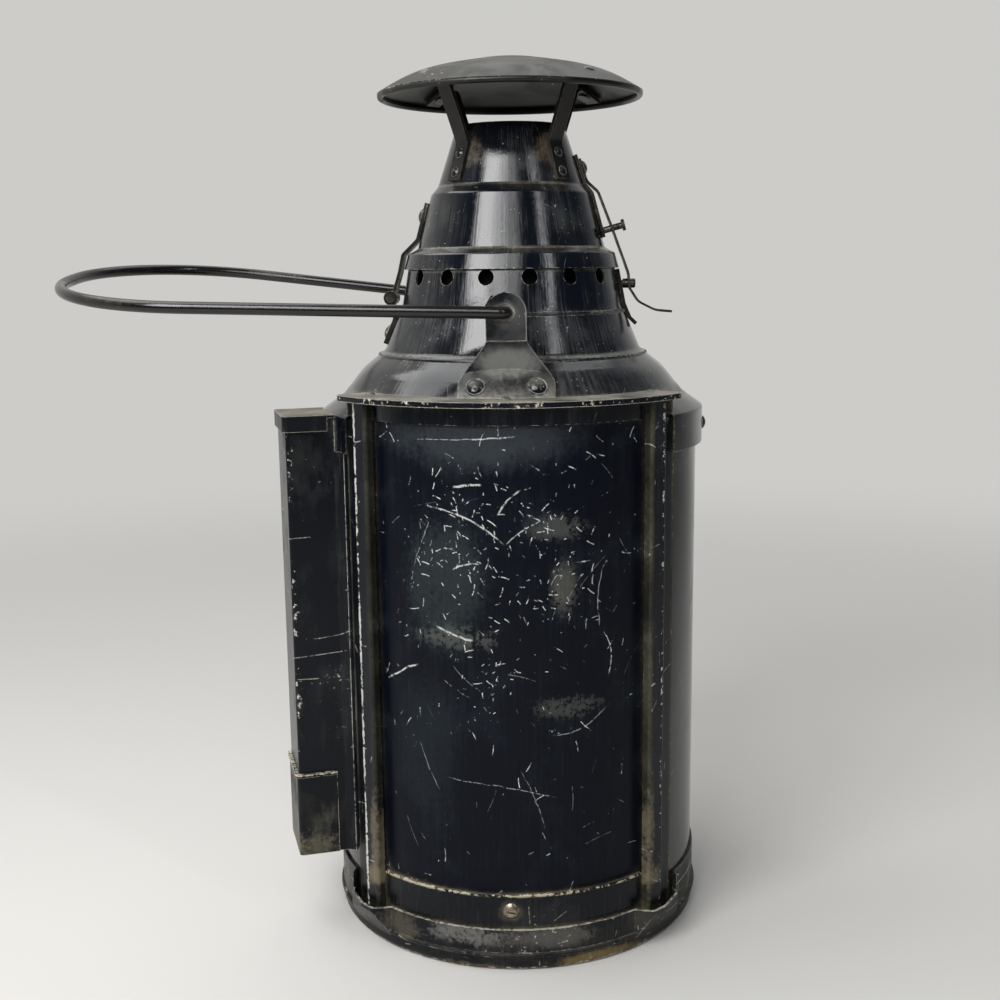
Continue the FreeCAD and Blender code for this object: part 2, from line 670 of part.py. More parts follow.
def bead(line, level, breaks=()):
    """Raised ring on a turned line, left out round the given bearings."""
    middle = vec(line_radius(line, level) - 0.3, 0, level)
    section = Part.Face(Part.Wire(Part.makeCircle(BEAD_R, middle, Y_AXIS)))
    if not breaks:
        return turned_face(section)
    arcs = []
    gap = math.degrees((LEAF_WIDTH / 2 + 1.5) / middle.x)
    for start, end in zip(breaks, breaks[1:] + (breaks[0] + 360,)):
        arcs.append(turned_face(section, start + gap, end - start - 2 * gap))
    return arcs[0].fuse(arcs[1:])


def dome():
    shell = turned_sheet(DOME_LINE, SHEET)
    flare_bead = bead(DOME_LINE, FLARE[1] - 2.4)
    upper_bead = bead(DOME_LINE, THROAT_FOOT[1] - 3.2, (90.0, 270.0))
    shell = shell.fuse([flare_bead, upper_bead])
    front = ring(BODY_R / 2, SKIRT_R + OVER, SKIRT_BOTTOM - OVER, FLANGE_Z, FLANGE_HALF)
    cutters = [front]
    for index in range(AIR_HOLES):
        bearing = (index + 0.5) * 360.0 / AIR_HOLES
        cutters.append(Part.makeCylinder(AIR_HOLE_R, BODY_R, vec(0, 0, AIR_HOLE_Z), polar(1, bearing)))
    for bearing in DOME_SCREW_BEARINGS:
        seat = polar(SKIRT_R, bearing, DOME_SCREW_Z)
        cutters.append(bore(seat, polar(1, bearing), DOME_SCREW_SHANK + PIN_FIT, OVER))
    for side in (0, 180):
        for shift in (-1, 1):
            seat, out = ear_rivet_seat(side, shift)
            cutters.append(bore(seat, out, EAR_RIVET_SHANK + PIN_FIT, OVER / 2))
    cutters.append(bore(*leaf_lower_seat(), RIVET_SHANK + PIN_FIT, OVER / 2))
    cutters.append(bore(keeper_seat(KEEPER_STUD_Z), polar(1, 90), RIVET_SHANK + PIN_FIT, OVER / 2))
    return outward(shell.cut(cutters).removeSplitter())


def draught_baffle():
    """Ring behind the air holes that lets air in but no light out, soldered to the dome."""
    under = offset_corners(DOME_LINE, SHEET + LAP_GAP)
    foot = DOME_TOP - BAFFLE_DROP
    lip = foot + BAFFLE_FOOT
    wall = line_radius(under, AIR_HOLE_Z) - BAFFLE_GAP
    line = [(line_radius(under, foot), foot, 0), (line_radius(under, lip), lip, 1.5),
            (wall, lip + BAFFLE_GAP, 3), (wall, DOME_TOP, 0)]
    return turned_sheet(line, SHEET)


def shoulder_screws():
    return [rivet(polar(SKIRT_R, bearing, DOME_SCREW_Z), polar(1, bearing), 3.6,
                  DOME_SCREW_SHANK, SKIRT_OUT - LAP_GAP, tail=False)
            for bearing in DOME_SCREW_BEARINGS]


def ear_rivet_seat(side, shift):
    """Seat and direction of one of an ear's rivets, on the outside of its foot."""
    level = PIVOT_Z - EAR_RIVET_DROP
    radius = line_radius(DOME_LINE, level)
    bearing = side + shift * math.degrees(math.asin(EAR_RIVET_X / radius))
    out = line_normal(DOME_LINE, level, bearing)
    return on_line(DOME_LINE, level, bearing, LAP_GAP + EAR_FOOT), out


def ear():
    """Front ear: a forged foot on the dome's flare that rises to the bail's boss."""
    low = FLANGE_Z + FLANGE_SHEET + 2 * LAP_GAP
    high = FLARE[1] - 4.4
    foot = turned(plate_over(DOME_LINE, LAP_GAP, EAR_FOOT, low, high), -24, 48)
    back = EAR_Y - EAR_THICK
    web = block(-EAR_WIDTH, EAR_WIDTH, -back - EAR_WEB, -back, low, PIVOT_Z)
    boss = block(-BOSS_R, BOSS_R, -EAR_Y, -back, PIVOT_Z - BOSS_R - 4, PIVOT_Z + BOSS_R)
    half = EAR_WIDTH / 2
    right = [(vec(half, 0, low), 0), (vec(half, 0, PIVOT_Z - EAR_SPREAD), EAR_ROUND),
             (vec(BOSS_R, 0, PIVOT_Z - EAR_WAIST), EAR_ROUND), (vec(BOSS_R, 0, PIVOT_Z), 0)]
    left_side = [(vec(-point.x, 0, point.z), bend) for point, bend in reversed(right)]
    crown = Part.Arc(right[-1][0], vec(0, 0, PIVOT_Z + BOSS_R), left_side[0][0]).toShape()
    outline = closed_face(rounded_edges(right), [crown], rounded_edges(left_side))
    outline = outline.extrude(vec(0, -2 * BODY_R, 0))
    under = over_line(DOME_LINE, LAP_GAP, 0, low - 1, PIVOT_Z)
    inside = turned([(0, low - 1)] + [(r, z) for r, z, _ in under] + [(0, PIVOT_Z)])
    seat = vec(0, -EAR_Y, PIVOT_Z)
    hole = bore(seat, Y_AXIS, WIRE_R + PIN_FIT, 3 * EAR_THICK)
    sink = bore(seat, Y_AXIS, WIRE_R + 1.1, 0.6)
    rivet_holes = [bore(*ear_rivet_seat(0, shift), EAR_RIVET_SHANK + PIN_FIT, OVER / 2)
                   for shift in (-1, 1)]
    shape = foot.fuse([web, boss]).common(outline).cut([inside, hole, sink] + rivet_holes)
    return outward(shape.removeSplitter())


def ear_rivets():
    grip = EAR_FOOT + LAP_GAP + SHEET + 0.15
    return [rivet(*ear_rivet_seat(side, shift), EAR_RIVET_R, EAR_RIVET_SHANK, grip)
            for side in (0, 180) for shift in (-1, 1)]


def bail():
    """Wire bail that rests on its side, with its ends hooked through both ears."""
    arm_y = EAR_Y + RUN_GAP + WIRE_R
    tail_y = EAR_Y - EAR_THICK - RUN_GAP - WIRE_R
    corners = []
    tail_rise = math.radians(BAIL_TAIL_UP)
    clinch = vec(-math.cos(tail_rise), 0, math.sin(tail_rise)) * BAIL_TAIL
    for side, lift in ((-1, BAIL_LIFT_FRONT), (1, BAIL_LIFT_REAR)):
        rise = math.radians(lift)
        heading = vec(-math.cos(rise), 0, math.sin(rise))
        pivot = vec(0, side * arm_y, PIVOT_Z)
        tail = vec(0, side * tail_y, PIVOT_Z)
        half = [(tail + clinch, 0), (tail, BAIL_HOOK), (pivot, BAIL_HOOK),
                (pivot + heading * BAIL_REACH, BAIL_BEND)]
        corners.extend(half if side < 0 else half[::-1])
    return swept_wire(corners, WIRE_R)


# ---- Bracket socket ----------------------------------------------------------------------

def socket_strip(lift, thickness, bottom, top, near):
    """Folded strip round the socket, lifted off its faces, with its outside toward us."""
    out = BODY_R + SOCKET_OUT + lift
    half = SOCKET_WIDTH / 2 + lift
    plan = [(near, -half, 0), (out, -half, 1.5 + lift), (out, half, 1.5 + lift), (near, half, 0)]
    strip = sheet_face(plan, thickness, in_plan).extrude(vec(0, 0, top - bottom))
    strip.translate(vec(0, 0, bottom))
    return outward(strip)


def at_socket(shape):
    """A shape drawn with the socket toward +X, turned to the socket's bearing."""
    shape.rotate(ORIGIN, Z_AXIS, SOCKET_BEARING - 90)
    return outward(shape)


def bracket_socket():
    """Box folded from one sheet, open at the bottom, with flanges soldered to the drum."""
    out = BODY_R + SOCKET_OUT
    half = SOCKET_WIDTH / 2
    plan = [(BODY_R - 4, -half - 3.8, 0), (BODY_R + 2.8, -half, 1.5), (out, -half, 1.5),
            (out, half, 1.5), (BODY_R + 2.8, half, 1.5), (BODY_R - 4, half + 3.8, 0)]
    box = sheet_face(plan, SOCKET_SHEET, in_plan).extrude(vec(0, 0, SOCKET_TOP - SOCKET_BOTTOM))
    box.translate(vec(0, 0, SOCKET_BOTTOM))
    drum = disc(BODY_R + LAP_GAP, 0, SOCKET_TOP + 5)
    skirt = disc(SKIRT_R + RUN_GAP, SKIRT_BOTTOM - RUN_GAP, SOCKET_TOP + 5)
    return at_socket(outward(box).cut([drum, skirt]))


def socket_lid():
    """Cap of the socket, with a rim turned down over its walls."""
    lift = LAP_GAP + SOCKET_SHEET
    near = SKIRT_R - 14
    rim = socket_strip(lift, SOCKET_SHEET, SOCKET_TOP - SOCKET_LID_DEPTH + 2, SOCKET_TOP, BODY_R + 6)
    out = BODY_R + SOCKET_OUT + lift
    half = SOCKET_WIDTH / 2 + lift
    plate = block(near, out, -half, half, SOCKET_TOP, SOCKET_TOP + SOCKET_SHEET)
    corners = [edge for edge in plate.Edges
               if abs(edge.tangentAt(0).z) > 0.99 and edge.CenterOfMass.x > out - 1]
    plate = plate.makeFillet(1.5 + lift, corners)
    skirt = disc(SKIRT_R + RUN_GAP, 0, SOCKET_TOP + 10)
    return at_socket(outward(rim.fuse(plate).cut(skirt).removeSplitter()))


def socket_shoe():
    """Strip round the foot of the socket with a bright rolled edge at its top."""
    lift = LAP_GAP + SHEET
    near = BODY_R + 7
    wall = socket_strip(lift, SHEET, SOCKET_BOTTOM, SHOE_TOP, near)
    edge = socket_strip(lift + SHEET, 2 * SHEET, SHOE_TOP - 1.8, SHOE_TOP, near)
    return at_socket(outward(wall.fuse(edge).removeSplitter()))


# ---- Cowl, cap and struts ----------------------------------------------------------------

def cowl():
    shell = turned_sheet(COWL_LINE, SHEET)
    cutters = [bore(*leaf_upper_seat(), RIVET_SHANK + PIN_FIT, OVER / 2)]
    cutters.append(bore(*catch_rivet_seat(), RIVET_SHANK + PIN_FIT, OVER / 2))
    cutters.append(bore(*guide_seat(), RIVET_SHANK + PIN_FIT, OVER / 2))
    for index in range(STRUTS):
        for seat, out in strut_rivet_seats(index):
            cutters.append(bore(seat, out, STRUT_RIVET_SHANK + PIN_FIT, OVER / 3))
    return outward(shell.cut(cutters))


def weather_cap():
    """Dished cap with its edge rolled under."""
    centre = vec(0, 0, CAP_CENTRE_Z)
    rim_z = CAP_CENTRE_Z + math.sqrt(CAP_DISH_R ** 2 - CAP_R ** 2)
    room = disc(CAP_R - 0.6, rim_z - OVER, CAP_TOP + OVER)
    dish = Part.makeSphere(CAP_DISH_R, centre).common(room)
    dish = dish.cut(Part.makeSphere(CAP_DISH_R - SHEET, centre))
    middle = vec(CAP_R - CAP_CURL_R, 0, rim_z - CAP_CURL_R + 0.5)
    curl = turned_face(Part.Face(Part.Wire(Part.makeCircle(CAP_CURL_R, middle, Y_AXIS))))
    cutters = [bore(*cap_rivet_seat(index), CAP_RIVET_SHANK + PIN_FIT, OVER / 2) for index in range(STRUTS)]
    return outward(dish.fuse(curl).cut(cutters).removeSplitter())


def strut_bearing(index):
    return (index + 0.5) * 360.0 / STRUTS


def cap_rivet_seat(index):
    bearing = strut_bearing(index)
    out = polar(CAP_RIVET_R, bearing, math.sqrt(CAP_DISH_R ** 2 - CAP_RIVET_R ** 2)).normalize()
    return vec(0, 0, CAP_CENTRE_Z) + out * CAP_DISH_R, out


def strut_rivet_seats(index):
    """Seats of the two rivets that hold a strut's leg to the cowl's neck."""
    seats = []
    for level in [NECK_Z - drop for drop in STRUT_RIVET_DROPS]:
        bearing = strut_bearing(index)
        seats.append((on_line(COWL_LINE, level, bearing, LAP_GAP + STRAP),
                      line_normal(COWL_LINE, level, bearing)))
    return seats


def cap_strut(index):
    """Strap from the cowl's neck, out and up to the underside of the cap."""
    leg = over_line(COWL_LINE, LAP_GAP, STRAP, STRUT_TOE_Z, STRUT_KNEE_Z)
    leg[-1] = (leg[-1][0], leg[-1][1], 5)
    leg = [leg[0]] + leg[-1:]
    drop = LAP_GAP + 0.15 + STRAP * 1.08
    corners = leg + [
        (STRUT_BEND_OUT, cap_under(STRUT_BEND_OUT) - drop, 3),
        (STRUT_FOOT_OUT, cap_under(STRUT_FOOT_OUT) - drop, 0),
    ]
    bearing = strut_bearing(index)
    strut = bent_strap(corners, STRAP, STRUT_WIDTH, bearing)
    cutters = [bore(*cap_rivet_seat(index), CAP_RIVET_SHANK + PIN_FIT, OVER / 2)]
    cutters.extend(bore(seat, out, STRUT_RIVET_SHANK + PIN_FIT, OVER / 3)
                   for seat, out in strut_rivet_seats(index))
    return outward(strut.cut(cutters))


def cap_rivets():
    grip = SHEET + LAP_GAP + 0.6 + STRAP
    return [rivet(*cap_rivet_seat(index), 3.4, CAP_RIVET_SHANK, grip) for index in range(STRUTS)]


def strut_rivets():
    grip = STRAP + LAP_GAP + SHEET + 0.2
    return [rivet(seat, out, 2.7, STRUT_RIVET_SHANK, grip)
            for index in range(STRUTS) for seat, out in strut_rivet_seats(index)]


# ---- Hinge of the cowl -------------------------------------------------------------------

def hinge_cylinder(radius, near, far):
    """Cylinder round the hinge's pin, between two distances from the lamp's middle plane."""
    return Part.makeCylinder(radius, far - near, vec(HINGE_X, near, HINGE_Z), Y_AXIS)


def leaf_lower_line():
    reach = -HINGE_X
    line = over_line(DOME_LINE, LAP_GAP, STRAP, LEAF_LOWER_Z, HINGE_Z - 11)
    return line[:1] + [(line[-1][0], line[-1][1], 4), (reach + 0.8, HINGE_Z - 2.4, 0)]


def leaf_upper_line():
    """Outside of the upper leaf, from the knuckle over the cowl's band to its wall."""
    wall = over_line(COWL_LINE, LAP_GAP, STRAP, COWL_LINE[2][1] + 5.5, LEAF_UPPER_Z)
    reach = -HINGE_X
    return [(reach - 0.4, HINGE_Z + 1.6, 0), (reach - 4.4, HINGE_Z + 14.4, 3),
            (COWL_EDGE_R + 1.2, COWL_LINE[1][1] + 0.4, 3), (wall[0][0], wall[0][1], 4), wall[-1]]


def line_seat(line, level, bearing):
    """Seat and outward direction on the outside of a strap."""
    return polar(line_radius(line, level), bearing, level), line_normal(line, level, bearing)


def leaf_lower_seat():
    return line_seat(leaf_lower_line(), LEAF_LOWER_Z + 6, 270)


def leaf_upper_seat():
    return line_seat(leaf_upper_line(), LEAF_UPPER_Z - 7, 270)


def hinge_leaf_lower():
    strap = bent_strap(leaf_lower_line(), STRAP, LEAF_WIDTH, 270)
    third = LEAF_WIDTH / 6
    half = LEAF_WIDTH / 2
    knuckles = [hinge_cylinder(KNUCKLE_R, third + RUN_GAP, half),
                hinge_cylinder(KNUCKLE_R, -half, -third - RUN_GAP)]
    middle = hinge_cylinder(KNUCKLE_R + RUN_GAP, -third - RUN_GAP, third + RUN_GAP)
    hole = hinge_cylinder(HINGE_PIN_R + PIN_FIT, -LEAF_WIDTH, LEAF_WIDTH)
    rivet_hole = bore(*leaf_lower_seat(), RIVET_SHANK + PIN_FIT, OVER / 2)
    leaf = strap.cut(middle).fuse(knuckles).cut([hole, rivet_hole])
    return outward(leaf.removeSplitter())


def hinge_leaf_upper():
    strap = bent_strap(leaf_upper_line(), STRAP, LEAF_WIDTH, 270)
    third = LEAF_WIDTH / 6
    clear = [hinge_cylinder(KNUCKLE_R + RUN_GAP, third, LEAF_WIDTH),
             hinge_cylinder(KNUCKLE_R + RUN_GAP, -LEAF_WIDTH, -third)]
    knuckle = hinge_cylinder(KNUCKLE_R, -third, third)
    hole = hinge_cylinder(HINGE_PIN_R + PIN_FIT, -LEAF_WIDTH, LEAF_WIDTH)
    rivet_hole = bore(*leaf_upper_seat(), RIVET_SHANK + PIN_FIT, OVER / 2)
    leaf = strap.cut(clear).fuse(knuckle).cut([hole, rivet_hole])
    return outward(leaf.removeSplitter())


def hinge_pin():
    half = LEAF_WIDTH / 2 + 0.1
    pin = hinge_cylinder(HINGE_PIN_R, -half - 0.8, half + 0.8)
    heads = [hinge_cylinder(HINGE_PIN_R + 0.9, half, half + 1.1),
             hinge_cylinder(HINGE_PIN_R + 0.9, -half - 1.1, -half)]
    return outward(pin.fuse(heads).removeSplitter())


def leaf_rivet():
    """Rivet of the lower leaf."""
    grip = STRAP + LAP_GAP + SHEET + 0.3
    return rivet(*leaf_lower_seat(), LEAF_RIVET_R, RIVET_SHANK, grip)


# ---- Catch of the cowl -------------------------------------------------------------------

def catch_line():
    """Outside of the strap that backs the catch's spring on the cowl."""
    return over_line(COWL_LINE, LAP_GAP, CATCH_STRAP, COWL_LINE[2][1] + 5.5, NECK_Z - 10)


def catch_rivet_seat():
    seat, out = line_seat(catch_line(), CATCH_PIVOT_Z, 90)
    return seat + out * (SPRING + 2 * LAP_GAP), out


def guide_seat():
    """Seat of the stud that guides the spring, on the outside of the catch's strap."""
    return line_seat(catch_line(), COWL_LINE[2][1] + 9, 90)


def catch_strap():
    strap = bent_strap(catch_line(), CATCH_STRAP, CATCH_WIDTH, 90)
    cutters = [bore(*catch_rivet_seat(), RIVET_SHANK + PIN_FIT, OVER / 2),
               bore(*guide_seat(), RIVET_SHANK + PIN_FIT, OVER / 2)]
    return outward(strap.cut(cutters))


def guide_stud():
    seat, out = guide_seat()
    reach = 10.5
    root = CATCH_STRAP + LAP_GAP + SHEET + 0.5
    stem = Part.makeCylinder(RIVET_SHANK, reach + root, seat - out * root, out)
    head = Part.makeCylinder(3.2, 1.6, seat + out * reach, out)
    return outward(stem.fuse(head).removeSplitter())


def cowl_rivets():
    """Rivet of the upper leaf and rivet of the catch's strap."""
    leaf = rivet(*leaf_upper_seat(), LEAF_RIVET_R, RIVET_SHANK, STRAP + LAP_GAP + SHEET + 0.3)
    grip = SPRING + 2 * LAP_GAP + CATCH_STRAP + LAP_GAP + SHEET + 0.2
    return [leaf, rivet(*catch_rivet_seat(), 3.6, RIVET_SHANK, grip)]


def catch_spring():
    """Strip spring, riveted at its top, that hooks over the stud and ends in a finger tail."""
    over = offset_corners(catch_line(), -(SPRING + LAP_GAP))
    pivot_r = line_radius(over, CATCH_PIVOT_Z)
    top_z = CATCH_PIVOT_Z + 5
    stud_z = KEEPER_STUD_Z
    stud_r = line_radius(keeper_line(), stud_z) + 5.0
    low_r = line_radius(over, CATCH_PIVOT_Z - 7)
    corners = [(stud_r + out, stud_z + up, bend) for out, up, bend in SPRING_LINE]
    corners.extend([
        (low_r + 6.2, CATCH_PIVOT_Z - 12.6, 8),
        (low_r, CATCH_PIVOT_Z - 7, 6),
        (pivot_r, CATCH_PIVOT_Z, 30),
        (line_radius(over, top_z), top_z, 0),
    ])
    strip = bent_strap(corners, SPRING, CATCH_WIDTH - 2, 90)
    seat, out = guide_seat()
    cutters = [bore(seat, out, RIVET_SHANK + 0.8, 1.5 * OVER),
               bore(*catch_rivet_seat(), RIVET_SHANK + PIN_FIT, OVER / 2),
               bore(keeper_seat(stud_z), polar(1, 90), STUD_NOSE_R + 0.5, OVER)]
    return outward(strip.cut(cutters))


def keeper_line():
    """Outside of the keeper's strap on the dome, with its lower end turned out."""
    line = over_line(DOME_LINE, LAP_GAP, STRAP, KEEPER_BOTTOM_Z + 1.2, COWL_EDGE_Z - 0.8)
    first = line[0]
    return [(first[0] + 3.4, KEEPER_BOTTOM_Z - 2, 0), (first[0], first[1], 1.5)] + line[1:]


def keeper_seat(level):
    return polar(line_radius(keeper_line(), level), 90, level)


def keeper_strap():
    strap = bent_strap(keeper_line(), STRAP, CATCH_WIDTH, 90)
    return outward(strap.cut(bore(keeper_seat(KEEPER_STUD_Z), polar(1, 90), RIVET_SHANK + PIN_FIT,
                              OVER / 2)))


def keeper_stud():
    """Stud that the spring hooks over: a stem through the strap and a thick nose."""
    seat = keeper_seat(KEEPER_STUD_Z)
    out = polar(1, 90)
    stem = Part.makeCylinder(RIVET_SHANK, STRAP + SHEET + 3, seat - out * (STRAP + SHEET + 1.2), out)
    nose = Part.makeCylinder(STUD_NOSE_R, 7.1, seat + out * 0.6, out)
    tip = [edge for edge in nose.Edges if edge.CenterOfMass.x > (seat + out * 7).x]
    nose = nose.makeFillet(0.8, tip)
    return outward(nose.fuse(stem).removeSplitter())


# ---- Shutter -----------------------------------------------------------------------------

def shutter():
    return ring(SHUTTER_IN, SHUTTER_R, HOOP_LOW, SHUTTER_TOP, SHUTTER_HALF)


def shutter_hoop(bottom):
    return ring(HOOP_R - HOOP_WIDTH, HOOP_R, bottom, bottom + HOOP_DEPTH)


def shutter_bar():
    """Upright that joins both hoops behind the shutter and carries its lever."""
    half = math.degrees(LEVER_WIDTH / SHUTTER_R)
    return ring(SHUTTER_IN, SHUTTER_R, HOOP_LOW, SHUTTER_TOP - 2, half, LEVER_BEARING)


def shutter_lever():
    """Arm from the upright out through the drum's slot."""
    arm = block(SHUTTER_R - 0.5, BODY_R + LEVER_OUT, -LEVER_WIDTH / 2, LEVER_WIDTH / 2,
                LEVER_Z - LEVER_THICK / 2, LEVER_Z + LEVER_THICK / 2)
    pad = block(SHUTTER_R - 0.5, SHUTTER_R + SHEET, -LEVER_WIDTH / 2, LEVER_WIDTH / 2,
                LEVER_Z - 9, LEVER_Z + 9)
    end = [edge for edge in arm.Edges if abs(edge.tangentAt(0).z) > 0.99
           and edge.CenterOfMass.x > BODY_R + LEVER_OUT - 1]
    arm = arm.makeFillet(LEVER_WIDTH / 2 - 0.5, end)
    knob_hole = bore(knob_seat(), Z_AXIS, 2 + PIN_FIT, OVER)
    lever = arm.fuse(pad).cut([disc(SHUTTER_R + LAP_GAP, 0, SHUTTER_TOP), knob_hole])
    lever.rotate(ORIGIN, Z_AXIS, LEVER_BEARING - 90)
    return outward(lever.removeSplitter())


def knob_seat():
    """Place of the knob on the lever, drawn with the lever toward +X."""
    return vec(BODY_R + LEVER_OUT - LEVER_WIDTH / 2, 0, LEVER_Z + LEVER_THICK / 2)


def shutter_knob():
    """Turned knob that stands on the lever, with its stem riveted over below."""
    base = knob_seat()
    under = -LEVER_THICK - 0.8
    line = [(0, under, 0), (3.2, under, 0), (3.2, -LEVER_THICK, 0), (2, -LEVER_THICK, 0), (2, 0, 0),
            (4.2, 0, 0), (3.4, 5, 2), (KNOB_R, 9, 2.5), (KNOB_R, 15, 3), (0, 17, 0)]
    knob = turned_face(closed_face(rounded_edges(in_section(line))))
    knob.translate(base)
    knob.rotate(ORIGIN, Z_AXIS, LEVER_BEARING - 90)
    return outward(knob)


def shutter_track():
    """Ring on the pan's floor with a shelf that the lower hoop turns on."""
    inner = TRACK_R - SHEET
    return turned([(inner - 2.4, PAN_SHEET), (TRACK_R, PAN_SHEET), (TRACK_R, TRACK_TOP - SHEET),
                   (HOOP_R, TRACK_TOP - SHEET), (HOOP_R, TRACK_TOP), (TRACK_R, TRACK_TOP),
                   (TRACK_R, TRACK_TOP + TRACK_LIP), (inner, TRACK_TOP + TRACK_LIP),
                   (inner, PAN_SHEET + SHEET), (inner - 2.4, PAN_SHEET + SHEET)])


def shutter_guide():
    """Ring under the dome's shoulder that keeps the upper hoop round."""
    under = offset_corners(DOME_LINE, SHEET + LAP_GAP)
    corner = under[2]
    rise = (corner[1] - under[1][1]) / (under[1][0] - corner[0])
    top = corner[1] - (TRACK_R - corner[0]) * rise
    return ring(TRACK_R - SHEET, TRACK_R, HOOP_HIGH, top)


# ---- Lens and its frame ------------------------------------------------------------------

def lens():
    """Stepped lens: a bulged middle belt with narrower prisms above and below it."""
    middle = (LENS_BOTTOM + LENS_TOP) / 2
    belt_half = LENS_BELT / 2
    pitch = (LENS_TOP - middle - belt_half) / LENS_STEPS
    root = LENS_R - STEP_DEPTH
    bottom_to_top = [vec(LENS_BACK_R, 0, LENS_BOTTOM)]
    for index in range(LENS_STEPS):
        low = LENS_BOTTOM + index * pitch
        bottom_to_top.extend([vec(root, 0, low), vec(LENS_R - 1.2, 0, low + pitch - 0.8)])
    edges = [Part.makeLine(a, b) for a, b in zip(bottom_to_top, bottom_to_top[1:])]
    belt_low = vec(root, 0, middle - belt_half)
    belt_high = vec(root, 0, middle + belt_half)
    edges.append(Part.makeLine(bottom_to_top[-1], belt_low))
    edges.append(Part.Arc(belt_low, vec(LENS_R, 0, middle), belt_high).toShape())
    top_to_bottom = [belt_high]
    for index in range(LENS_STEPS):
        low = middle + belt_half + index * pitch
        top_to_bottom.extend([vec(LENS_R - 1.2, 0, low + 0.8), vec(root, 0, low + pitch)])
    top_to_bottom.append(vec(LENS_BACK_R, 0, LENS_TOP))
    top_to_bottom.append(bottom_to_top[0])
    edges.extend(Part.makeLine(a, b) for a, b in zip(top_to_bottom, top_to_bottom[1:]))
    return turned_face(Part.Face(Part.Wire(edges)), -LENS_HALF, 2 * LENS_HALF)


def lens_rail(face_up):
    """Channel that holds one end of the lens, with its lips toward the glass."""
    inner = LENS_BACK_R - RAIL_SHEET - 0.3
    outer = LENS_R + RAIL_SHEET - 0.8
    seat = LENS_BOTTOM - 0.1 if face_up else LENS_TOP + 0.1
    way = 1 if face_up else -1
    back = seat - way * RAIL_SHEET
    tip = seat + way * RAIL_LIP
    section = [(inner, back), (outer, back), (outer, tip), (outer - RAIL_SHEET, tip),
               (outer - RAIL_SHEET, seat), (inner + RAIL_SHEET, seat), (inner + RAIL_SHEET, tip),
               (inner, tip)]
    return turned(section, -LENS_HALF, 2 * LENS_HALF)


def lens_stile():
    """Right upright of the lens's frame, with its foot on the pan's floor."""
    turn = LENS_HALF + math.degrees((STILE_THICK / 2 + 0.1) / LENS_BACK_R)
    low = LENS_BACK_R - RAIL_SHEET - 0.3
    high = LENS_R + RAIL_SHEET - 0.8
    half = STILE_THICK / 2
    plate = block(low, high, -half, half, PAN_SHEET, LENS_TOP + RAIL_SHEET + 0.1)
    foot = block(low, high - 8, -half, 10, PAN_SHEET, PAN_SHEET + STILE_THICK)
    stile = plate.fuse(foot)
    stile.rotate(ORIGIN, Z_AXIS, turn - 90)
    return outward(stile.removeSplitter())


# ---- Oil font and burner -----------------------------------------------------------------

def font_seat():
    """Tray on the pan's floor that the font drops into."""
    outer = FONT_R + RUN_GAP + SEAT_SHEET
    line = [(0, PAN_SHEET, 0), (outer, PAN_SHEET, 3), (outer, SEAT_TOP, 0)]
    return turned_sheet(line, SEAT_SHEET)


def font():
    """Oil font: a closed tin with a coned top, a collar for the burner and a filler neck."""
    floor = PAN_SHEET + SEAT_SHEET
    line = [(0, floor, 0), (FONT_R, floor, 3.2), (FONT_R, FONT_TOP - 14, 5),
            (BURNER_R + 5, FONT_TOP - 1, 2), (BURNER_R + 3, FONT_TOP + 3, 0),
            (BURNER_R, FONT_TOP + 3, 0), (BURNER_R, FONT_TOP - 2, 0), (0, FONT_TOP - 2, 0)]
    tank = turned_face(closed_face(rounded_edges(in_section(line))))
    neck = Part.makeCylinder(FILLER_R - 1.6, FONT_TOP + 1 - 30, vec(FILLER_X, 0, 30))
    well = block(-WICK_WIDTH / 2 - 0.4, WICK_WIDTH / 2 + 0.4, -WICK_THICK / 2 - 0.4,
                 WICK_THICK / 2 + 0.4, FONT_TOP - WICK_WELL, FONT_TOP)
    return outward(tank.fuse(neck).cut(well).removeSplitter())


def filler_cap():
    """Knurled cap that sits over the filler's neck."""
    foot = FONT_TOP - 3.2
    shell = Part.makeCylinder(FILLER_R, 7.4, vec(FILLER_X, 0, foot))
    shell = shell.makeFillet(1.2, [edge for edge in shell.Edges if edge.CenterOfMass.z > foot + 7])
    room = Part.makeCylinder(FILLER_R - 1.6 + PIN_FIT, 5, vec(FILLER_X, 0, foot - 0.6))
    slope = turned([(0, 0), (FONT_R, 0), (FONT_R, FONT_TOP - 14 + 0.3),
                    (BURNER_R + 5, FONT_TOP - 1 + 0.3), (0, FONT_TOP - 0.7)])
    return outward(shell.cut([room, slope]))


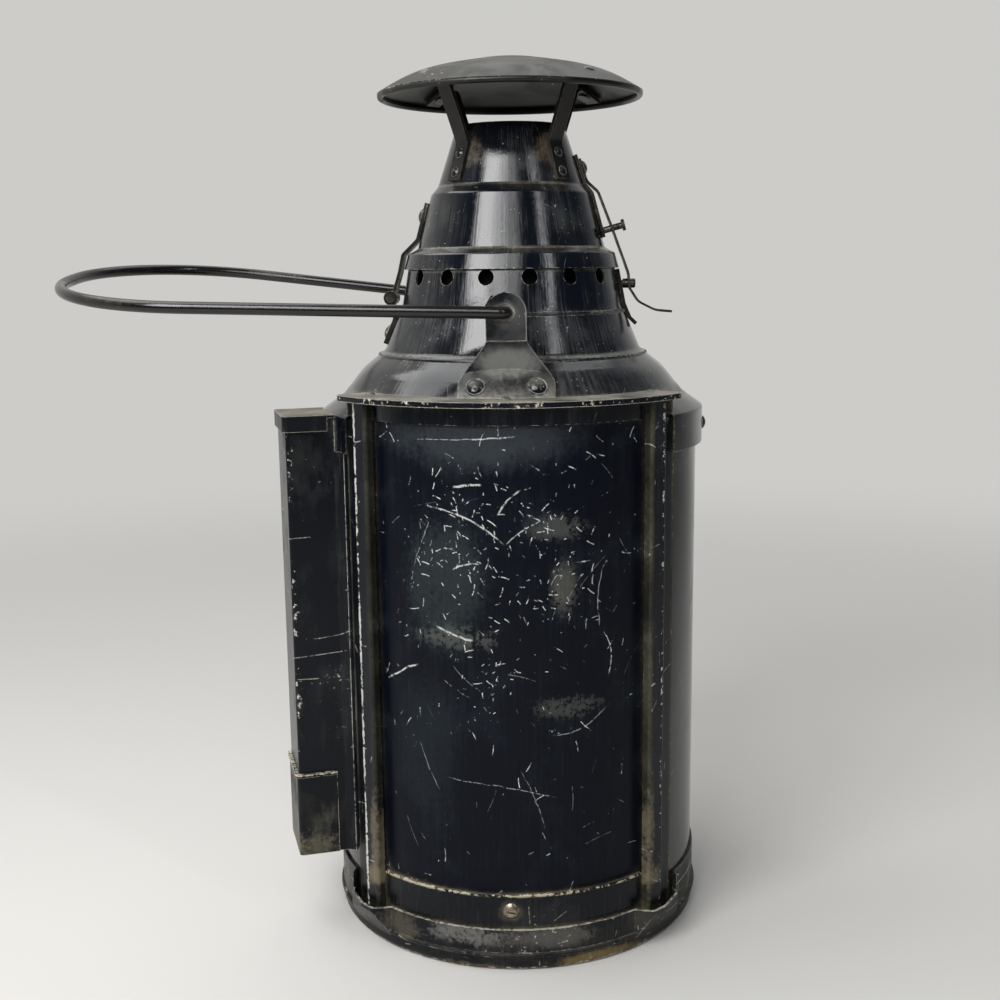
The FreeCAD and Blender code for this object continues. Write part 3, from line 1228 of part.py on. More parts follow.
def burner():
    """Burner: a collar in the font, a domed body, a gallery for the chimney and a wick tube."""
    base = FONT_TOP - 2
    gallery_r = CHIMNEY_R + PIN_FIT + SHEET
    line = [(0, base, 0), (BURNER_R - PIN_FIT, base, 0), (BURNER_R - PIN_FIT, base + 6, 0),
            (BURNER_R - 3, base + 8, 1), (BURNER_R - 3, BURNER_TOP - 16, 2),
            (gallery_r, BURNER_TOP - 12, 2), (gallery_r, BURNER_TOP, 0),
            (gallery_r - SHEET, BURNER_TOP, 0), (gallery_r - SHEET, BURNER_TOP - 8, 0),
            (BURNER_R - 4, BURNER_TOP - 8, 0), (9, BURNER_TOP + 2, 4), (0, BURNER_TOP + 2, 0)]
    body = turned_face(closed_face(rounded_edges(in_section(line))))
    tube_x = WICK_WIDTH / 2 + 1.0
    tube_y = WICK_THICK / 2 + 1.0
    tube = block(-tube_x, tube_x, -tube_y, tube_y, BURNER_TOP - 4, BURNER_TOP + 6)
    slot = block(-WICK_WIDTH / 2 - 0.3, WICK_WIDTH / 2 + 0.3, -WICK_THICK / 2 - 0.3,
                 WICK_THICK / 2 + 0.3, base - 1, BURNER_TOP + 10)
    hole = Part.makeCylinder(SPINDLE_R + PIN_FIT, 2 * BURNER_R,
                             vec(-WICK_WIDTH / 2 - 1, SPINDLE_Y, SPINDLE_Z), vec(1, 0, 0))
    return outward(body.fuse(tube).cut([slot, hole]).removeSplitter())


def wick_spindle():
    """Spindle beside the wick with a milled button at its outer end."""
    start = -WICK_WIDTH / 2 - 0.6
    way = vec(1, 0, 0)
    stem = Part.makeCylinder(SPINDLE_R, SPINDLE_REACH - start, vec(start, SPINDLE_Y, SPINDLE_Z), way)
    button = Part.makeCylinder(BUTTON_R, 3, vec(SPINDLE_REACH - 3, SPINDLE_Y, SPINDLE_Z), way)
    return outward(stem.fuse(button).removeSplitter())


def wick():
    return block(-WICK_WIDTH / 2, WICK_WIDTH / 2, -WICK_THICK / 2, WICK_THICK / 2,
                 FONT_TOP - WICK_WELL + 14, BURNER_TOP + WICK_RISE)


def chimney():
    """Glass chimney with a belly round the flame."""
    foot = BURNER_TOP - 7.6
    line = [(CHIMNEY_R, foot, 0), (CHIMNEY_R, foot + 14, 6), (CHIMNEY_BELLY, foot + 36, 14),
            (CHIMNEY_R - 2, foot + 74, 30), (CHIMNEY_R - 4, CHIMNEY_TOP, 0)]
    return turned_sheet(line, CHIMNEY_GLASS)


# ---- Pieces ------------------------------------------------------------------------------

def left(shape):
    """The left twin of a right-hand piece."""
    return mirrored(shape, vec(1, 0, 0))


def pieces():
    """Every piece by name."""
    made = {
        "base_pan": base_pan(), "body_shell": body_shell(),
        "bay_post_right": bay_post(), "bay_post_left": left(bay_post()),
        "ledge_band": ledge_band(), "ledge_screw": ledge_screw(), "header_band": header_band(),
        "bay_flange": bay_flange(), "flange_rivets": flange_rivets(),
        "dome": dome(), "draught_baffle": draught_baffle(), "shoulder_screws": shoulder_screws(),
        "ear_front": ear(), "ear_rear": mirrored(ear(), vec(0, 1, 0)), "ear_rivets": ear_rivets(),
        "bail": bail(),
        "bracket_socket": bracket_socket(), "socket_lid": socket_lid(),
        "socket_shoe": socket_shoe(),
        "hinge_leaf_lower": hinge_leaf_lower(), "hinge_pin": hinge_pin(),
        "leaf_rivet": leaf_rivet(), "keeper_strap": keeper_strap(), "keeper_stud": keeper_stud(),
        "cowl": cowl(), "weather_cap": weather_cap(), "cap_rivets": cap_rivets(),
        "strut_rivets": strut_rivets(), "hinge_leaf_upper": hinge_leaf_upper(),
        "catch_strap": catch_strap(), "guide_stud": guide_stud(), "cowl_rivets": cowl_rivets(),
        "catch_spring": catch_spring(),
        "shutter": shutter(), "shutter_hoop_lower": shutter_hoop(HOOP_LOW),
        "shutter_hoop_upper": shutter_hoop(HOOP_HIGH),
        "shutter_bar": shutter_bar(), "shutter_lever": shutter_lever(),
        "shutter_knob": shutter_knob(), "shutter_track": shutter_track(),
        "shutter_guide": shutter_guide(),
        "lens": lens(), "lens_rail_lower": lens_rail(True), "lens_rail_upper": lens_rail(False),
        "lens_stile_right": lens_stile(), "lens_stile_left": left(lens_stile()),
        "font_seat": font_seat(), "font": font(), "filler_cap": filler_cap(),
        "burner": burner(), "wick_spindle": wick_spindle(), "wick": wick(), "chimney": chimney(),
    }
    for index in range(STRUTS):
        made[f"cap_strut_{index + 1}"] = cap_strut(index)
    return made


def main():
    os.makedirs("parts", exist_ok=True)
    for name, shape in pieces().items():
        if isinstance(shape, list):
            shape = Part.makeCompound(shape)
        shape.exportStep(os.path.join("parts", name + ".step"))


main()
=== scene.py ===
import logging
import math
from abc import ABC, abstractmethod
from collections.abc import Callable, Iterator
from contextlib import contextmanager
from dataclasses import dataclass, field, replace
from enum import Enum

import bmesh
import bpy
from mathutils import Matrix, Vector


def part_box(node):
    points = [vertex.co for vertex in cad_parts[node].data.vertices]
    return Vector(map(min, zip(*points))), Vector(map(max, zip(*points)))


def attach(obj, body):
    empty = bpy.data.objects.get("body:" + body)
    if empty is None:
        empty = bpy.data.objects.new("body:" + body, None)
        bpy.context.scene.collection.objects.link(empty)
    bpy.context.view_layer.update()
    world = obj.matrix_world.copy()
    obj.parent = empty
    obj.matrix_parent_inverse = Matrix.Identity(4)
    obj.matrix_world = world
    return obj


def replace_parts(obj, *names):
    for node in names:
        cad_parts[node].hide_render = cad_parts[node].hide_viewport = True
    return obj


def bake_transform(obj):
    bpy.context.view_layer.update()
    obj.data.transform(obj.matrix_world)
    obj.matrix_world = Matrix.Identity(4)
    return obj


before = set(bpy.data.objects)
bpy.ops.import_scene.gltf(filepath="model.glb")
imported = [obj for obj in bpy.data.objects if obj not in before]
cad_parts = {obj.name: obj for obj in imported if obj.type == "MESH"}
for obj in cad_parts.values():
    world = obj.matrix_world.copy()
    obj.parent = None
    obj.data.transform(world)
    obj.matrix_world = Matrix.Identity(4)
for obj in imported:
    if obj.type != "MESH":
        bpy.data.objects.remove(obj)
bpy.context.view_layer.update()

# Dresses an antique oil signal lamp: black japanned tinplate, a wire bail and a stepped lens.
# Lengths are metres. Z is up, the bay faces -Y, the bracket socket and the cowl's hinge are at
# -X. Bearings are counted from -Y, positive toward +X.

LOG = logging.getLogger("signal_lamp")

MM = 0.001

# Kinds of node, and settings that many share. Of a Map Range, input 0 is the value, 1 and 2 its
# range, 3 and 4 the new range. Of a Mix, 0 is the share, 2 and 3 are numbers, 6 and 7 colours.
# Math and Vector Math add where no other operation is set.
MATH = "ShaderNodeMath"
VECTOR = "ShaderNodeVectorMath"
TEX_COORD = "ShaderNodeTexCoord"
GEOMETRY = "ShaderNodeNewGeometry"
NOISE = "ShaderNodeTexNoise"
VORONOI = "ShaderNodeTexVoronoi"
RANGE = "ShaderNodeMapRange"
MIX = "ShaderNodeMix"
SPLIT = "ShaderNodeSeparateXYZ"
JOIN = "ShaderNodeCombineXYZ"
BUMP = "ShaderNodeBump"
TURN = "ShaderNodeVectorRotate"
TIMES = {"operation": "MULTIPLY"}
TIMES_PLUS = {"operation": "MULTIPLY_ADD"}
MINUS = {"operation": "SUBTRACT"}
SIZE = {"operation": "ABSOLUTE"}
LENGTH = {"operation": "LENGTH"}
DOT = {"operation": "DOT_PRODUCT"}
UNDER = {"operation": "LESS_THAN"}
ABOUT_Z = {"rotation_type": "Z_AXIS"}
SMOOTH = {"interpolation_type": "SMOOTHSTEP"}
COLOUR = {"data_type": "RGBA"}
CLAMP = {"use_clamp": True}

SHEET_RADIUS = 0.1          # metres, of the drum that the sheet is unrolled from

# Sizes of the noises, millimetres. Real dust, grime and bristle marks are about a tenth as
# wide. These are as coarse as they need to be to show.
CLOUD_MM = 34.0             # patches of fading and grime
GRIT_MM = 2.4               # dust, rust and ragged edges
BRUSH_MM = 1.9              # brush and wipe marks
BRUSH_DRAW = 0.04           # how much slower they change upward than across
SHAKE_MM = 11.0             # length over which a hand-made line wanders
DENT_MM = 45.0              # spacing of the shallow dents
SPECK_MM = 2.6              # spacing of stuck grains
TARNISH_MM = 9.0            # patches of tarnish

# How rich in small detail the noises are
CLOUDY = {"Detail": 6.0, "Roughness": 0.62}
GRITTY = {"Detail": 4.0, "Roughness": 0.7}
BRUSHED = {"Detail": 5.0, "Roughness": 0.65}
SHAKY = {"Detail": 4.0, "Roughness": 0.6}
TARNISHED = {"Detail": 6.0, "Roughness": 0.65}
POROUS = {"Detail": 4.0}
WAVY = {"Detail": 1.0}
NOISE_MIDDLE = 0.5

# Depths of relief, millimetres
BRUSH_DEPTH_MM = 0.1
SKIN_MM = 0.04              # unevenness of the varnish
PORE_MM = 0.05              # pores of old metal

# Where marks begin and where they are full, as shares of their reach, width or cell
OVAL_RIM, OVAL_CORE = 1.15, 0.3
PATCH_RIM, PATCH_CORE = 0.25, 1.1
STROKE_SPAN, STROKE_LEAST = 0.42, 0.03
STROKE_CORE, GOUGE_CORE, EDGE_CORE = 0.3, 0.25, 0.2
GOUGE_FULL = 0.7
CROWD_FOOT, CROWD_FULL = 0.1, 0.12      # below and above the middle of the cloudy noise

# Spans in which a mask goes from none to full, as inputs of a Map Range. A noise lies between
# about 0.25 and 0.75.
FILM = {1: 0.95, 2: 1.25}       # cloudy and brushed noise together
LYING = {1: 0.2, 2: 1.0}        # upward part of the normal
DEEP = {1: 0.72, 2: 0.38}       # openness, low in a corner
OPEN = {1: 0.5, 2: 0.8}         # openness, high away from corners
PATCHY = {1: 0.36, 2: 0.62, 3: 0.15, 4: 1.0}    # cloudy noise, some dust stays everywhere
SPECKLED = {1: 0.34, 2: 0.66, 3: 0.4, 4: 1.0}   # grit, the same
GRAIN = {1: 0.16, 2: 0.1}       # distance from a grain's middle, as a share of its cell
GRAINY = {1: 0.4, 2: 0.62}      # cloudy noise, where grains have gathered
SHARP = {1: 0.99, 2: 0.8}       # likeness of the rounded and the true normal
FLECK = {1: 1.04, 2: 1.09}      # wear with grit and cloudy noise: only its peaks are flecks
BROKEN = {1: 0.38, 2: 0.56}     # grit, which breaks scratches up
PORES = {1: 0.54, 2: 0.7, 4: 0.8}               # grain of old metal
DUSTY = {1: 0.4, 2: 0.7, 3: 0.02, 4: 0.12}      # waves of the glass, to its roughness

# Strengths
DULL_FOOT, DULL_FULL, DULL_SHIFT = 0.62, 0.78, 0.2      # cloudy noise that dulls the varnish
AGED_FOOT, AGED_FULL, AGED_SHIFT = 0.68, 0.86, 0.4      # the same for old metal
WEAR_PULL, CHIP_PULL, CLOUD_PULL = 0.6, 0.16, 0.6       # what each adds to the flecks
DIRTY_SHINE = 0.25          # how metallic old metal still is under dirt
STROKE_CONTRAST = 7.0       # high, so that a scratch is there or not
STREAK_PULL = 1.6           # how far streaks dull the varnish
SHAKE_PULL = 4.0            # the noise strays about a quarter from its middle
SEED_SLANT = 0.37           # upward part of the shift that a seed gives
DUST_MOST = 0.9
SPECK_STRENGTH = 0.7

# Roughness of what lies on the varnish, how metallic bare tin is, and how glass refracts
PATCH_ROUGH, FILM_ROUGH, DUST_ROUGH, TIN_ROUGH = 0.6, 0.5, 0.75, 0.4
TIN_SHINE = 0.3
SODA_GLASS_IOR = 1.52

WELD = 0.001 * MM           # vertices this close are one
MIDDLE = 0.24               # height of the lamp's middle, metres

Socket = bpy.types.NodeSocket


# ---- Colour and nodes --------------------------------------------------------------------

def linear(hex_colour: str) -> tuple[float, float, float, float]:
    """Turns an sRGB hex colour into linear RGBA.

    Args:
        hex_colour: six hex digits, such as "1a1b1e".

    Returns:
        Linear red, green, blue and an alpha of one.
    """
    channels = []
    for start in (0, 2, 4):
        value = int(hex_colour[start:start + 2], 16) / 255
        channels.append(value / 12.92 if value <= 0.04045 else ((value + 0.055) / 1.055) ** 2.4)
    return (channels[0], channels[1], channels[2], 1.0)


def add(tree: bpy.types.NodeTree, kind: str, inputs: dict | None = None, out: int | str = 0,
        **settings: object) -> Socket:
    """Adds a node with its settings and links.

    Args:
        tree: node tree that gets the node.
        kind: identifier of the node's type.
        inputs: what each input takes, a socket or a plain value, by name or number.
        out: name or number of the output to hand back.
        **settings: properties of the node.

    Returns:
        The chosen output socket.
    """
    node = tree.nodes.new(kind)
    for name, value in settings.items():
        setattr(node, name, value)
    for name, value in (inputs or {}).items():
        socket = node.inputs[name]
        if isinstance(value, Socket):
            tree.links.new(value, socket)
        else:
            socket.default_value = value
    return node.outputs[out]


@dataclass(frozen=True)
class Surface:
    """What is known of the surface point that a material's nodes colour."""

    tree: bpy.types.NodeTree
    point: Socket       # object coordinates, metres
    sheet: Socket       # unrolled sheet: (arc length, height, 0)
    bearing: Socket     # radians from the front
    radius: Socket
    height: Socket
    facing_up: Socket   # upward part of the surface's normal
    cloudy: Socket      # broad noise, for what is patchy
    grit: Socket        # fine noise, for what is speckled
    brushed: Socket     # upright streaks
    hollow: Socket      # one in the open, less in a corner


def survey(tree: bpy.types.NodeTree, crevice_mm: float) -> Surface:
    """Adds the nodes that say where on the lamp a point is, and the noises its marks share.

    Args:
        tree: node tree.
        crevice_mm: how far out of a corner it still counts as hollow.

    Returns:
        The surface.
    """
    point = add(tree, TEX_COORD, out="Object")
    split = add(tree, SPLIT, {0: point}).node
    x, y, z = (split.outputs[index] for index in range(3))
    front = add(tree, MATH, {0: y, 1: -1.0}, **TIMES)
    bearing = add(tree, MATH, {0: x, 1: front}, operation="ARCTAN2")
    flat = add(tree, JOIN, {0: x, 1: y})
    radius = add(tree, VECTOR, {0: flat}, "Value", **LENGTH)
    arc = add(tree, MATH, {0: bearing, 1: SHEET_RADIUS}, **TIMES)
    sheet = add(tree, JOIN, {0: arc, 1: z})
    normal = add(tree, GEOMETRY, out="Normal")
    up = add(tree, SPLIT, {0: normal}, 2)
    cloudy = add(tree, NOISE, {"Vector": point, "Scale": 1 / (CLOUD_MM * MM), **CLOUDY})
    grit = add(tree, NOISE, {"Vector": point, "Scale": 1 / (GRIT_MM * MM), **GRITTY})
    drawn = add(tree, VECTOR, {0: sheet, 1: (1.0, BRUSH_DRAW, 1.0)}, **TIMES)
    brushed = add(tree, NOISE, {"Vector": drawn, "Scale": 1 / (BRUSH_MM * MM), **BRUSHED})
    hollow = add(tree, "ShaderNodeAmbientOcclusion", {"Distance": crevice_mm * MM}, "AO",
                 samples=6)
    return Surface(tree, point, sheet, bearing, radius, z, up, cloudy, grit, brushed, hollow)


# ---- Marks that time leaves on a surface -------------------------------------------------

Spot = tuple[float, float]      # arc length and height on the unrolled sheet, millimetres


def inside_oval(on: Surface, centre: Spot, reach: Spot) -> Socket:
    """Adds the nodes that say how far inside an oval on the unrolled sheet a point is.

    Args:
        on: the surface.
        centre: middle of the oval.
        reach: its half width and half height.

    Returns:
        One near the middle, zero outside.
    """
    local = add(on.tree, VECTOR, {0: on.sheet, 1: (centre[0] * MM, centre[1] * MM, 0.0)},
                **MINUS)
    shrunk = add(on.tree, VECTOR, {0: local, 1: (1 / (reach[0] * MM), 1 / (reach[1] * MM), 0.0)},
                 **TIMES)
    away = add(on.tree, VECTOR, {0: shrunk}, "Value", **LENGTH)
    return add(on.tree, RANGE, {0: away, 1: OVAL_RIM, 2: OVAL_CORE}, **SMOOTH)


@dataclass(frozen=True)
class Strokes:
    """Short scratches at random places and angles, at most one in each cell."""

    cell_mm: float
    width_mm: float
    share: float            # part of the cells that hold a scratch
    seed: float = 0.0
    curl: float = 0.0       # bend of each scratch, 1/mm
    upright: float = 1.0    # 1 lets the angle be any, less keeps them nearer level
    depth: float = 1.0      # how bare the metal lies in them
    gathered: float = 0.0   # 0 spreads them evenly, more leaves them in a few spots
    centre: Spot = (0.0, 0.0)       # middle of the place they lie in
    reach: Spot | None = None       # its half width and half height, all over for None

    def mask(self, on: Surface) -> Socket:
        """Adds the nodes of the scratches.

        Args:
            on: the surface.

        Returns:
            A mask of their depth.
        """
        tree = on.tree
        shifted = add(tree, VECTOR, {0: on.sheet, 1: (self.seed, SEED_SLANT * self.seed, 0.0)})
        cells = add(tree, VORONOI, {"Vector": shifted, "Scale": 1 / (self.cell_mm * MM)},
                    voronoi_dimensions="2D").node
        chance = add(tree, SPLIT, {0: cells.outputs["Color"]}).node
        local = add(tree, VECTOR, {0: shifted, 1: cells.outputs["Position"]}, **MINUS)
        angle = add(tree, MATH, {0: chance.outputs[0], 1: math.tau * self.upright}, **TIMES)
        turned = add(tree, TURN, {"Vector": local, "Angle": angle}, **ABOUT_Z)
        axes = add(tree, SPLIT, {0: turned}).node
        along, across = axes.outputs[0], axes.outputs[1]
        squared = add(tree, MATH, {0: along, 1: along}, **TIMES)
        bow = add(tree, MATH, {0: squared, 1: self.curl / MM, 2: across}, **TIMES_PLUS)
        off = add(tree, MATH, {0: bow}, **SIZE)
        run = add(tree, MATH, {0: along}, **SIZE)
        half = add(tree, MATH, {0: chance.outputs[1], 1: STROKE_SPAN * self.cell_mm * MM,
                                2: STROKE_LEAST * self.cell_mm * MM}, **TIMES_PLUS)
        thin = add(tree, RANGE, {0: off, 1: self.width_mm * MM,
                                 2: STROKE_CORE * self.width_mm * MM, 4: self.depth}, **SMOOTH)
        inside = add(tree, MATH, {0: run, 1: half}, **UNDER)
        crowd = add(tree, RANGE, {0: on.cloudy, 1: NOISE_MIDDLE - CROWD_FOOT * self.gathered,
                                  2: NOISE_MIDDLE + CROWD_FULL * self.gathered,
                                  3: self.share * (1 - self.gathered), 4: self.share}, **SMOOTH)
        if self.reach:
            spot = inside_oval(on, self.centre, self.reach)
            crowd = add(tree, MATH, {0: crowd, 1: spot}, **TIMES)
        present = add(tree, MATH, {0: crowd, 1: chance.outputs[2]}, **MINUS)
        present = add(tree, MATH, {0: present, 1: STROKE_CONTRAST}, **TIMES, **CLAMP)
        line = add(tree, MATH, {0: thin, 1: inside}, **TIMES)
        return add(tree, MATH, {0: line, 1: present}, **TIMES)


@dataclass(frozen=True)
class Gouge:
    """One long scratch at a set place."""

    start: Spot
    end: Spot
    sag_mm: float = 0.0
    width_mm: float = 0.5
    depth: float = 0.8

    def mask(self, on: Surface) -> Socket:
        """Adds the nodes of the scratch.

        Args:
            on: the surface.

        Returns:
            A mask of its depth.
        """
        tree = on.tree
        middle = [(a + b) / 2 * MM for a, b in zip(self.start, self.end)]
        run_x, run_z = (b - a for a, b in zip(self.start, self.end))
        half = math.hypot(run_x, run_z) / 2 * MM
        local = add(tree, VECTOR, {0: on.sheet, 1: (middle[0], middle[1], 0.0)}, **MINUS)
        turned = add(tree, TURN, {"Vector": local, "Angle": -math.atan2(run_z, run_x)},
                     **ABOUT_Z)
        axes = add(tree, SPLIT, {0: turned}).node
        along, across = axes.outputs[0], axes.outputs[1]
        squared = add(tree, MATH, {0: along, 1: along}, **TIMES)
        bow = add(tree, MATH, {0: squared, 1: -self.sag_mm * MM / half ** 2, 2: across},
                  **TIMES_PLUS)
        level = add(tree, MATH, {0: bow, 1: self.sag_mm * MM})
        off = add(tree, MATH, {0: level}, **SIZE)
        run = add(tree, MATH, {0: along}, **SIZE)
        thin = add(tree, RANGE, {0: off, 1: self.width_mm * MM,
                                 2: GOUGE_CORE * self.width_mm * MM, 4: self.depth}, **SMOOTH)
        inside = add(tree, RANGE, {0: run, 1: half, 2: GOUGE_FULL * half}, **SMOOTH)
        return add(tree, MATH, {0: thin, 1: inside}, **TIMES)


@dataclass(frozen=True)
class Patch:
    """Ragged patch of haze, dirt or rust at a set place; on the ears it is painted sheen."""

    centre: Spot
    reach: Spot                     # half width and half height
    colour: str
    strength: float = 0.5
    ragged: float = 1.6             # how far the noise eats into it
    wiped: float = 0.6              # how far upright wipe marks cross it

    def mask(self, on: Surface) -> Socket:
        """Adds the nodes of the patch.

        Args:
            on: the surface.

        Returns:
            A mask of its strength.
        """
        tree = on.tree
        shape = inside_oval(on, self.centre, self.reach)
        noise = add(tree, MATH, {0: on.cloudy, 1: on.grit})
        level = add(tree, MATH, {0: noise, 1: self.ragged, 2: shape}, **TIMES_PLUS)
        level = add(tree, MATH, {0: on.brushed, 1: self.wiped, 2: level}, **TIMES_PLUS)
        middle = self.ragged + 0.5 * self.wiped     # what the noises come to on average
        level = add(tree, RANGE, {0: level, 1: middle + PATCH_RIM, 2: middle + PATCH_CORE,
                                  4: self.strength}, **SMOOTH)
        return add(tree, MATH, {0: level, 1: shape}, **TIMES)


class Along(Enum):
    """Coordinate that a worn edge is found by."""

    HEIGHT = "height"
    RADIUS = "radius"
    BEARING = "bearing"


@dataclass(frozen=True)
class WornEdge:
    """An edge rubbed to bare metal, at a level, a radius or a bearing. Along the bracket socket's
    far corner it is partly a painted highlight.
    """

    along: Along
    at: float               # millimetres, or degrees for a bearing
    width: float            # the same
    bare: float = 0.5       # how much of it is bare, from 0 to 1

    def mask(self, on: Surface) -> Socket:
        """Adds the nodes of the worn edge.

        Args:
            on: the surface.

        Returns:
            How strongly it wears a point.
        """
        scale = math.radians(1) if self.along is Along.BEARING else MM
        gap = add(on.tree, MATH, {0: getattr(on, self.along.value), 1: self.at * scale},
                  **MINUS)
        off = add(on.tree, MATH, {0: gap}, **SIZE)
        near = add(on.tree, RANGE, {0: off, 1: self.width * scale,
                                    2: EDGE_CORE * self.width * scale}, **SMOOTH)
        return add(on.tree, MATH, {0: near, 1: self.bare}, **TIMES)


def sum_of(tree: bpy.types.NodeTree, masks: list[Socket]) -> Socket | float:
    """Adds masks up, or gives zero for none.

    Args:
        tree: node tree.
        masks: what to add.

    Returns:
        The sum.
    """
    total: Socket | float = 0.0
    for mask in masks:
        total = add(tree, MATH, {0: total, 1: mask})
    return total


def blank(name: str) -> tuple[bpy.types.Material, bpy.types.NodeTree, bpy.types.Node]:
    """New material with an empty tree, a Principled shader and its output.

    Args:
        name: the material's name.

    Returns:
        The material, its tree and the shader node.
    """
    material = bpy.data.materials.new(name)
    material.use_nodes = True
    tree = material.node_tree
    tree.nodes.clear()
    shader = tree.nodes.new("ShaderNodeBsdfPrincipled")
    output = tree.nodes.new("ShaderNodeOutputMaterial")
    tree.links.new(shader.outputs[0], output.inputs[0])
    return material, tree, shader


# ---- Finishes ----------------------------------------------------------------------------

class Finish(ABC):
    """A finish that pieces are covered with."""

    @abstractmethod
    def material(self) -> bpy.types.Material:
        """Builds the material."""

    def cover(self, *pieces: str | bpy.types.Object) -> None:
        """Builds the material and gives it to pieces.

        Args:
            *pieces: names of CAD nodes, and new pieces.
        """
        material = self.material()
        for piece in pieces:
            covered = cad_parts[piece] if isinstance(piece, str) else piece
            if not covered.material_slots:
                covered.data.materials.append(material)
            for held in covered.material_slots:
                held.material = material
            LOG.info("%s is finished in %s", covered.name, material.name)


@dataclass(frozen=True)
class Japan(Finish):
    """Black japan, asphalt varnish stoved on tinplate.

    It gives the eye a deep blue-black with a streaky gloss. Long use leaves grey dust in the
    corners, bare tin along the edges and a few brown stains.
    """

    name: str
    varnish: str = "050810"
    faded: str = "11161e"
    fading: float = 0.5             # share of the surface that has gone dull
    gloss: tuple[float, float] = (0.18, 0.4)    # roughness of the clean and the dull varnish
    streaks: float = 0.4            # upright brush and wipe marks
    specular: float = 0.4
    dust: float = 0.1               # on what faces up
    crevice_dust: float = 0.5       # in the corners
    crevice_mm: float = 8.0         # how far out of a corner dust reaches
    haze: float = 0.0               # grey film left in the wipe marks
    haze_colour: str = "5b5c5b"
    specks: float = 0.0             # share of the surface with stuck grains of dust
    dust_colour: str = "736c60"
    chips: float = 0.0              # bare flecks away from the edges
    # on the ears and the rivets, the bare edges are partly a painted highlight
    rubbed: float = 0.35            # bare metal on every outer edge
    rub_width_mm: float = 0.7
    bare_tin: str = "a8a49a"
    edges: tuple[WornEdge, ...] = ()
    corners: tuple[WornEdge, ...] = ()          # where more dust has settled
    strokes: tuple[Strokes, ...] = ()
    gouges: tuple[Gouge, ...] = ()
    patches: tuple[Patch, ...] = ()
    wander_mm: float = 1.6          # how far the scratches stray from their line
    dents_mm: float = 0.5

    def material(self) -> bpy.types.Material:
        """Builds the material.

        Returns:
            The new material.
        """
        material, tree, shader = blank(self.name)
        on = survey(tree, self.crevice_mm)
        dull = add(tree, RANGE, {0: on.cloudy, 1: DULL_FOOT - DULL_SHIFT * self.fading,
                                 2: DULL_FULL - DULL_SHIFT * self.fading}, **SMOOTH)
        wiped = add(tree, MATH, {0: on.brushed, 1: NOISE_MIDDLE}, **MINUS)
        dull = add(tree, MATH, {0: wiped, 1: STREAK_PULL * self.streaks, 2: dull},
                   **TIMES_PLUS, **CLAMP)
        colour = add(tree, MIX, {0: dull, 6: linear(self.varnish), 7: linear(self.faded)}, 2,
                     **COLOUR)
        rough = add(tree, RANGE, {0: dull, 3: self.gloss[0], 4: self.gloss[1]})
        shaken = self._shaken(on)
        coats = [(patch.mask(shaken), patch.colour, PATCH_ROUGH) for patch in self.patches]
        if self.haze:
            film = add(tree, MATH, {0: on.cloudy, 1: on.brushed})
            film = add(tree, RANGE, {0: film, **FILM, 4: self.haze}, **SMOOTH)
            coats.append((film, self.haze_colour, FILM_ROUGH))
        coats.append((self._dust(on), self.dust_colour, DUST_ROUGH))
        bare = self._bare(on, shaken)
        coats.append((bare, self.bare_tin, TIN_ROUGH))
        for mask, tone, roughness in coats:
            colour = add(tree, MIX, {0: mask, 6: colour, 7: linear(tone)}, 2, **COLOUR)
            rough = add(tree, MIX, {0: mask, 2: rough, 3: roughness})
        shine = add(tree, MATH, {0: bare, 1: TIN_SHINE}, **TIMES)
        tree.links.new(colour, shader.inputs["Base Color"])
        tree.links.new(rough, shader.inputs["Roughness"])
        tree.links.new(shine, shader.inputs["Metallic"])
        shader.inputs["Specular IOR Level"].default_value = self.specular
        tree.links.new(self._relief(on), shader.inputs["Normal"])
        return material

    def _shaken(self, on: Surface) -> Surface:
        """Shakes the unrolled sheet, so that lines drawn on it look made by hand.

        Args:
            on: the surface.

        Returns:
            The same surface on a shaken sheet.
        """
        shake = add(on.tree, NOISE,
                    {"Vector": on.point, "Scale": 1 / (SHAKE_MM * MM), **SHAKY}, "Color")
        centred = add(on.tree, VECTOR, {0: shake, 1: 3 * (NOISE_MIDDLE,)}, **MINUS)
        swing = SHAKE_PULL * self.wander_mm * MM
        moved = add(on.tree, VECTOR, {0: centred, 1: (swing, swing, 0.0)}, **TIMES)
        return replace(on, sheet=add(on.tree, VECTOR, {0: on.sheet, 1: moved}))

    def _dust(self, on: Surface) -> Socket:
        """Says where dust lies: on what faces up, in the corners and as stuck grains.

        Args:
            on: the surface.

        Returns:
            The mask.
        """
        tree = on.tree
        lying = add(tree, RANGE, {0: on.facing_up, **LYING, 4: self.dust}, **SMOOTH)
        deep = add(tree, RANGE, {0: on.hollow, **DEEP, 4: self.crevice_dust}, **SMOOTH)
        settled = sum_of(tree, [lying, deep] + [edge.mask(on) for edge in self.corners])
        patchy = add(tree, RANGE, {0: on.cloudy, **PATCHY})
        settled = add(tree, MATH, {0: settled, 1: patchy}, **TIMES)
        speckled = add(tree, RANGE, {0: on.grit, **SPECKLED})
        settled = add(tree, MATH, {0: settled, 1: speckled}, **TIMES)
        if not self.specks:
            return add(tree, MATH, {0: settled, 1: DUST_MOST}, operation="MINIMUM")
        spots = add(tree, VORONOI, {"Vector": on.point, "Scale": 1 / (SPECK_MM * MM)}).node
        near = add(tree, RANGE, {0: spots.outputs["Distance"], **GRAIN}, **SMOOTH)
        chance = add(tree, SPLIT, {0: spots.outputs["Color"]}, 1)
        wanted = add(tree, RANGE, {0: on.cloudy, **GRAINY, 4: self.specks})
        stuck = add(tree, MATH, {0: chance, 1: wanted}, **UNDER)
        grains = add(tree, MATH, {0: near, 1: stuck}, **TIMES)
        return add(tree, MATH, {0: grains, 1: SPECK_STRENGTH, 2: settled}, **TIMES_PLUS,
                   **CLAMP)

